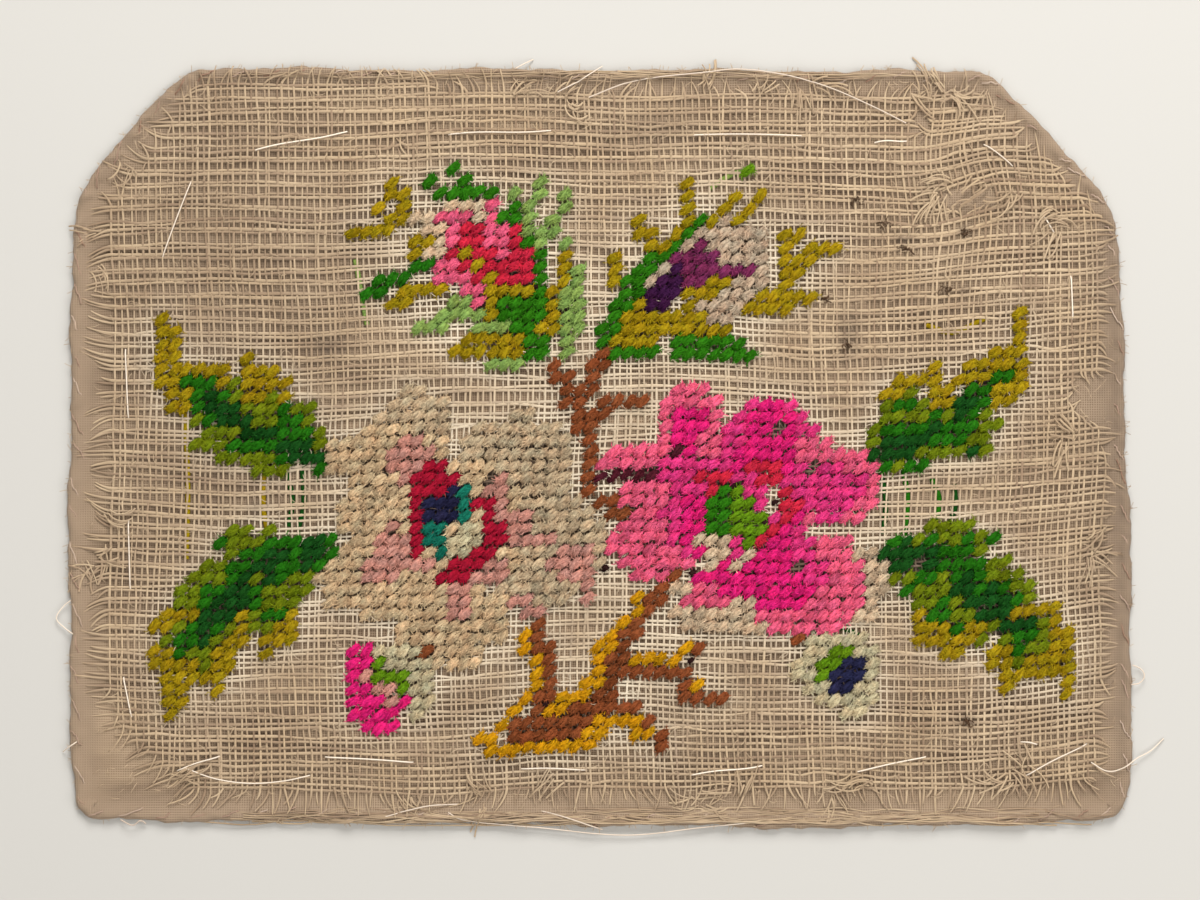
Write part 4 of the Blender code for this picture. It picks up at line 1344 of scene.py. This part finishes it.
# %% Yarns carried behind the canvas
CARRIED_YARNS = [
    # dye, then places across, up
    ("olive", (-107.9, 9.0), (-107.2, -10.0), (-107.6, -29.0)),
    ("olive", (-86.8, -2.0), (-87.6, -14.0), (-86.5, -22.0)),
    ("fir", (-82.2, -4.0), (-80.0, -13.0), (-81.0, -20.5)),
    ("fir", (-77.4, -5.2), (-77.0, -14.5), (-78.4, -21.0)),
    ("fir", (73.2, -6.5), (74.5, -14.0), (73.8, -22.5)),
    ("grass", (79.0, -5.5), (80.2, -13.5), (79.4, -23.0)),
    ("grass", (86.5, -8.0), (88.5, -14.5), (86.0, -22.0)),
    ("fir", (92.2, -9.5), (92.6, -15.0), (90.8, -21.0)),
    ("mint", (-63.6, 49.0), (-62.0, 40.0), (-60.6, 32.0)),
    ("mint", (28.6, 67.5), (35.0, 71.5), (40.5, 73.0)),
    ("olive", (85.0, 32.0), (92.0, 30.0), (101.0, 34.0)),
    ("fir", (56.5, -44.5), (62.0, -46.5), (68.0, -49.0)),
]


def smooth_line(places, step):
    """A soft curve through a few places, as points about one step apart."""
    places = np.array(places, float)
    ends = np.vstack([2 * places[0] - places[1], places, 2 * places[-1] - places[-2]])
    curve = []
    for before, start, end, after in zip(ends, ends[1:], ends[2:], ends[3:]):
        for t in np.linspace(0.0, 1.0, 8, endpoint=False):
            curve.append(0.5 * (2 * start + (end - before) * t
                                + (2 * before - 5 * start + 4 * end - after) * t ** 2
                                + (3 * start - before - 3 * end + after) * t ** 3))
    return evenly(np.vstack([curve, places[-1:]]), step)


WOVEN_LOW = np.array(WOVEN_CORNERS).min(axis=0)
WOVEN_HIGH = np.array(WOVEN_CORNERS).max(axis=0)
WEAVE_TOP = 2.15
CARRIED_LEVEL = 1.42          # between the lining's top and the weave


def surface_height(across, up):
    """The height that a thread lies at: on the weave, on the lining, or down on the table outside."""
    depth = depth_inside(across, up)
    on_weave = (across > WOVEN_LOW[0]) & (across < WOVEN_HIGH[0])
    on_weave &= (up > WOVEN_LOW[1]) & (up < WOVEN_HIGH[1])
    level = np.where(on_weave, WEAVE_TOP, lining_height(across, up))
    return np.where(depth < 0, np.clip(1.4 + depth * 0.6, 0.1, None), level)


def carry_yarns():
    """Wool that runs from one motif to the next between the canvas and the lining."""
    dyes = sorted({dye for dye, *places in CARRIED_YARNS})
    strands = Strands("carried_yarns")
    for dye, *places in CARRIED_YARNS:
        line = smooth_line(places, 1.0)
        height = np.full(len(line), CARRIED_LEVEL)
        strands.add(np.column_stack([line, height]), 0.72, 0.30, tone=0.4, slot=dyes.index(dye))
    return strands.piece([wool[dye] for dye in dyes])


carried = carry_yarns()

# %% Loose fibres, pulled ends and dirt
LOOSE_FIBRES = 2600
LOCK_THREADS = 6
LINT = 700                    # fibres that stand off the rim
CLEAN_BITS = 240              # bits of clean canvas thread that show between the stitches
FIBRE_HALF = 0.07
TANGLES = [
    # pulled-out thread ends lie here: across, up, spread across, spread up, how many
    (-36.0, -91.0, 14.0, 2.0, 18), (30.0, -91.5, 12.0, 2.0, 16), (66.0, -86.0, 12.0, 3.5, 14),
    (106.0, -86.0, 10.0, 4.0, 18), (-108.0, -84.5, 6.0, 3.0, 8), (88.0, 92.0, 9.0, 2.2, 20),
    (-20.0, 92.0, 16.0, 2.2, 14), (97.0, 66.0, 9.0, 3.5, 20),
    (119.0, 58.0, 5.0, 6.0, 12), (124.0, 1.0, 2.5, 2.5, 8), (129.5, -28.0, 2.0, 14.0, 12),
    (-131.0, 45.0, 2.0, 14.0, 12), (-131.0, -30.0, 2.0, 28.0, 16), (40.0, 93.0, 20.0, 2.0, 16),
]
SPECKS = [(66.8, 64.6), (74.5, 58.1), (79.2, 52.2), (95.2, 56.3), (89.8, 41.0), (58.8, 38.6), (64.4, 26.8),
          (95.5, -71.0)]


def curled(across, up, length, step, curl=1.1, towards_angle=None):
    """A short loose end that starts here, with its own heading and curl, or with those of its lock."""
    reach = np.arange(0.0, length + step, step)
    start = chance.uniform(0.0, 2 * np.pi) if towards_angle is None else towards_angle
    turn = chance.normal(0.0, curl) if towards_angle is None else chance.normal(curl, 0.3)
    heading = start + turn * np.linspace(0.0, 1.0, len(reach))
    way = np.column_stack([np.cos(heading), np.sin(heading)])
    line = np.array([across, up]) + np.cumsum(way, axis=0) * step
    lift = chance.uniform(0.1, 0.6) * np.sin(np.linspace(0.0, np.pi, len(line)))
    return np.column_stack([line, surface_height(line[:, 0], line[:, 1]) + 0.25 + lift])


def lay_fibres(strands):
    """Single fibres worked loose from the canvas."""
    for _ in range(LOOSE_FIBRES):
        across = chance.uniform(WOVEN_LOW[0] - 4.0, WOVEN_HIGH[0] + 3.0)
        up = chance.uniform(WOVEN_LOW[1] - 4.0, WOVEN_HIGH[1] + 3.0)
        if depth_inside(across, up)[0] > 2.0:
            strands.add(curled(across, up, chance.uniform(0.8, 3.0), 0.6), FIBRE_HALF, 0.02, sides=2,
                        tone=chance.uniform(0.5, 1.0), roof=True)


def lay_locks(strands):
    """Pulled-out thread ends that lie and curl together."""
    for middle, height, spread_across, spread_up, many in TANGLES:
        for _ in range(many // 4):
            lock_across = middle + chance.normal(0.0, 0.6) * spread_across
            lock_up = height + chance.normal(0.0, 0.6) * spread_up
            lock_angle = chance.uniform(0.0, 2 * np.pi)
            lock_curl = chance.normal(0.0, 0.8)
            for _ in range(LOCK_THREADS):
                across = lock_across + chance.normal(0.0, 1.3)
                up = lock_up + chance.normal(0.0, 1.0)
                if depth_inside(across, up)[0] > 3.5:
                    end = curled(across, up, chance.uniform(3.0, 8.0), 0.7, lock_curl,
                                 lock_angle + chance.normal(0.0, 0.3))
                    half_width = chance.uniform(0.14, 0.24)
                    strands.add(end, half_width, 0.14, sides=3, tone=chance.uniform(0.3, 1.0), roof=True)


def lay_lint(strands):
    """Fine fibres that stand off the rim."""
    for index in chance.integers(0, len(OUTLINE), LINT):
        start = OUTLINE[index] + INWARD[index] * chance.uniform(0.2, 1.6)
        heading = -INWARD[index] + chance.normal(0.0, 0.9, 2)
        reach = chance.uniform(0.6, 2.2) * np.array([0.0, 0.5, 1.0])[:, None]
        line = start + reach * heading / np.hypot(*heading)
        height = chance.uniform(1.0, 2.1) + np.array([0.0, 0.15, 0.0])
        strands.add(np.column_stack([line, height]), FIBRE_HALF, 0.03, sides=2,
                    tone=chance.uniform(0.2, 0.9), roof=True)


def lay_clean_bits(strands):
    """Short bits of clean canvas thread between one stitch and the next."""
    rows, columns = np.nonzero(chart != "")
    for index in chance.integers(0, len(rows), CLEAN_BITS):
        across = column_place(columns[index] + chance.choice((0.0, 1.0)))
        up = row_place(rows[index] + 0.5) + chance.normal(0.0, 0.2)
        across, up = [float(value) for value in drifted(across, up)]
        half = chance.uniform(0.5, 1.0)
        line = np.array([(across - half, up, 2.5), (across, up + 0.1, 2.78), (across + half, up, 2.5)])
        strands.add(line, 0.13, 0.10, sides=3, tone=1.0, roof=True)


def gather_specks():
    """Dark dirt caught in the weave."""
    strands = Strands("dark_specks")
    for across, up in SPECKS:
        for _ in range(12):
            line = curled(across + chance.normal(0.0, 0.7), up + chance.normal(0.0, 0.45),
                          chance.uniform(0.6, 1.4), 0.25, 3.0)
            line[:, 2] -= 0.25
            half_width = chance.uniform(0.08, 0.20)
            strands.add(line, half_width, 0.08, sides=3, tone=chance.uniform(0.0, 0.8), roof=True)
    return strands.piece([wool["soot"]])


fibre_strands = Strands("stray_fibres")
for lay in (lay_fibres, lay_locks, lay_lint, lay_clean_bits):
    lay(fibre_strands)
fibres_piece = fibre_strands.piece([canvas_thread])
specks = gather_specks()

# %% [markdown]
# ## Sewing threads
# White basting runs in long stitches a little inside the edge, and loose ends of the same thread lie where
# they were cut. They are fine, smooth and paler than the canvas. Over the rim go small overcasting
# stitches, and long canvas threads that have come out of the weave lie bunched along the edges.

# %% Sewing thread material
sewing_thread, sewing_shader = new_material("twisted cotton sewing thread")
sewing_tone, = facts_of(sewing_thread, "tone")
sewing_colour = add_node(sewing_thread, "Mix", BLEND, {MIX_FACTOR: sewing_tone, MIX_FIRST: linear("#8a6650"),
                                                       MIX_SECOND: linear("#f2e4d0")})
plug(sewing_thread, sewing_shader, {"Base Color": sewing_colour.outputs[MIX_RESULT], "Roughness": 0.7})
print("sewing thread ready")

# %% Basting stitches and loose ends
BASTING = [
    # from across, up to across, up
    ((-90.1, 77.3), (-65.7, 82.3)), ((-39.4, 81.5), (-12.1, 82.6)), ((23.5, 81.3), (53.4, 81.3)),
    ((71.6, 79.4), (80.2, 80.0)), ((100.0, 78.9), (107.5, 73.5)), ((114.8, 61.0), (118.4, 56.0)),
    ((122.6, 44.9), (123.1, 33.7)), ((-113.8, 49.3), (-106.2, 69.6)), ((-123.4, 25.6), (-122.6, 7.9)),
    ((-122.6, -18.9), (-122.1, -37.1)), ((-123.9, -59.7), (-121.8, -70.1)),
    ((-109.9, -84.1), (-98.7, -80.0)),
    ((-71.4, -80.5), (-48.5, -82.0)), ((-20.4, -83.6), (-3.3, -83.6)), ((23.8, -85.2), (42.3, -82.6)),
    ((66.7, -84.4), (84.9, -80.5)), ((110.9, -85.4), (126.8, -76.8)), ((109.6, -76.6), (113.8, -77.1)),
]
LOOSE_ENDS = [
    # how pale, then places across, up
    (0.95, (-107.8, -83.3), (-100.0, -86.0), (-90.9, -87.2), (-82.0, -86.6), (-75.3, -85.2)),
    (0.90, (127.8, -81.8), (131.5, -84.0), (134.8, -83.9), (139.5, -81.0), (143.5, -79.0), (147.0, -75.8)),
    (0.75, (138.7, -56.6), (141.0, -57.6), (141.9, -59.5), (140.6, -61.3), (138.2, -61.6)),
    (0.95, (-137.6, -39.7), (-139.8, -41.5), (-141.5, -44.5), (-139.2, -47.0), (-137.0, -48.5)),
    (0.85, (-136.0, -76.5), (-138.5, -78.2), (-139.8, -79.2)),
    (0.55, (-124.7, -96.8), (-121.5, -98.3), (-119.5, -96.9), (-118.2, -97.9)),
    (0.80, (-39.7, -94.8), (-34.0, -97.1), (-15.5, -98.9), (7.0, -100.9), (26.0, -98.9), (38.0, -97.6)),
    (0.75, (-57.0, -96.3), (-50.0, -94.4), (-43.8, -93.1), (-36.0, -92.8)),
    (0.75, (-15.5, -94.5), (-8.0, -96.3), (0.7, -99.4)),
    (0.70, (-2.8, 91.1), (5.9, 94.5), (12.3, 96.0), (26.1, 97.4), (37.1, 98.4), (49.0, 96.7), (60.0, 93.5),
     (71.5, 88.5), (79.7, 84.4)),
    (0.85, (-22.0, 98.6), (-19.5, 100.0), (-17.3, 101.2)),
    (0.80, (-10.9, 92.5), (-5.0, 95.5), (0.7, 99.4)),
]


def lay_sewing():
    """Basting stitches that dive in at both ends, and the cut ends that lie loose."""
    strands = Strands("basting_threads")
    for start, end in BASTING:
        line = evenly(np.array([start, end]), 1.2)
        t = np.linspace(0.0, 1.0, len(line))
        line[:, 1] += 0.25 * np.sin(np.pi * t * chance.uniform(0.8, 2.0))
        height = surface_height(line[:, 0], line[:, 1]) + 0.25 - 0.9 * np.abs(2 * t - 1) ** 12
        strands.add(np.column_stack([line, height]), 0.18, 0.16, tone=chance.uniform(0.68, 0.95))
    for paleness, *places in LOOSE_ENDS:
        line = smooth_line(places, 1.0)
        lift = 0.9 * np.sin(np.linspace(0.0, np.pi, len(line)))
        height = surface_height(line[:, 0], line[:, 1]) + 0.24 + lift
        strands.add(np.column_stack([line, height]), 0.16, 0.15, tone=0.85 * paleness)
    return strands.piece([sewing_thread])


basting = lay_sewing()


# %% Overcasting and the threads gathered along the edges
BOTTOM_THREADS = 18
TOP_THREADS = 8


def overcast():
    """Small slanting stitches over the rim."""
    strands = Strands("edge_stitches")
    count = len(OUTLINE)
    for number in range(PINCHES):
        index = int(count * (number + chance.normal(0.0, 0.12)) / PINCHES)
        slant = chance.normal(5.4, 0.8)
        t = np.linspace(0.0, 1.0, 9)
        spot = (index + np.round(t * slant).astype(int)) % count
        depth = 0.3 + chance.uniform(2.2, 3.0) * t
        place = OUTLINE[spot] + INWARD[spot] * depth[:, None]
        roll = 1.1 + 1.15 * np.sqrt(np.clip(1.0 - (2 * t - 1.0) ** 2, 0.0, 1.0))
        strands.add(np.column_stack([place, roll]), 0.16, 0.14, tone=chance.uniform(0.0, 0.35))
    return strands.piece([sewing_thread])


def edge_bundles():
    """Long canvas threads that have come out of the weave and lie bunched along the edges."""
    strands = Strands("gathered_threads")
    for number in range(BOTTOM_THREADS + TOP_THREADS):
        bottom = number < BOTTOM_THREADS
        start = -104.0 + chance.uniform(0.0, 40.0 if bottom else 90.0)
        end = 135.0 - chance.uniform(0.0, 50.0) if bottom else 96.0 - chance.uniform(0.0, 80.0)
        across = np.arange(start, end, 1.6)
        if bottom:
            depth = 1.3 + 0.17 * number + wandering(len(across), 0.62, 7)
            level = OUTLINE[:, 1].min() + 0.9 + np.clip(depth, 0.4, 5.0)
        else:
            depth = 2.0 + 0.25 * (number - BOTTOM_THREADS)
            level = OUTLINE[:, 1].max() - depth + wandering(len(across), 0.45, 7)
        height = lining_height(across, level) + 0.20 + wandering(len(across), 0.16, 5)
        tone = np.clip(chance.normal(0.45, 0.25) + wandering(len(across), 0.15, 7), 0.0, 1.0)
        strands.add(np.column_stack([across, level, height]), 0.20, 0.18, sides=4, tone=tone)
    return strands.piece([canvas_thread])


overcasting = overcast()
gathered = edge_bundles()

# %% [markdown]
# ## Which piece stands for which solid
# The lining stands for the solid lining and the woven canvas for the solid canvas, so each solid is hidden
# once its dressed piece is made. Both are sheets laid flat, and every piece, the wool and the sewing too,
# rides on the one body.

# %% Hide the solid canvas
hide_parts("canvas")
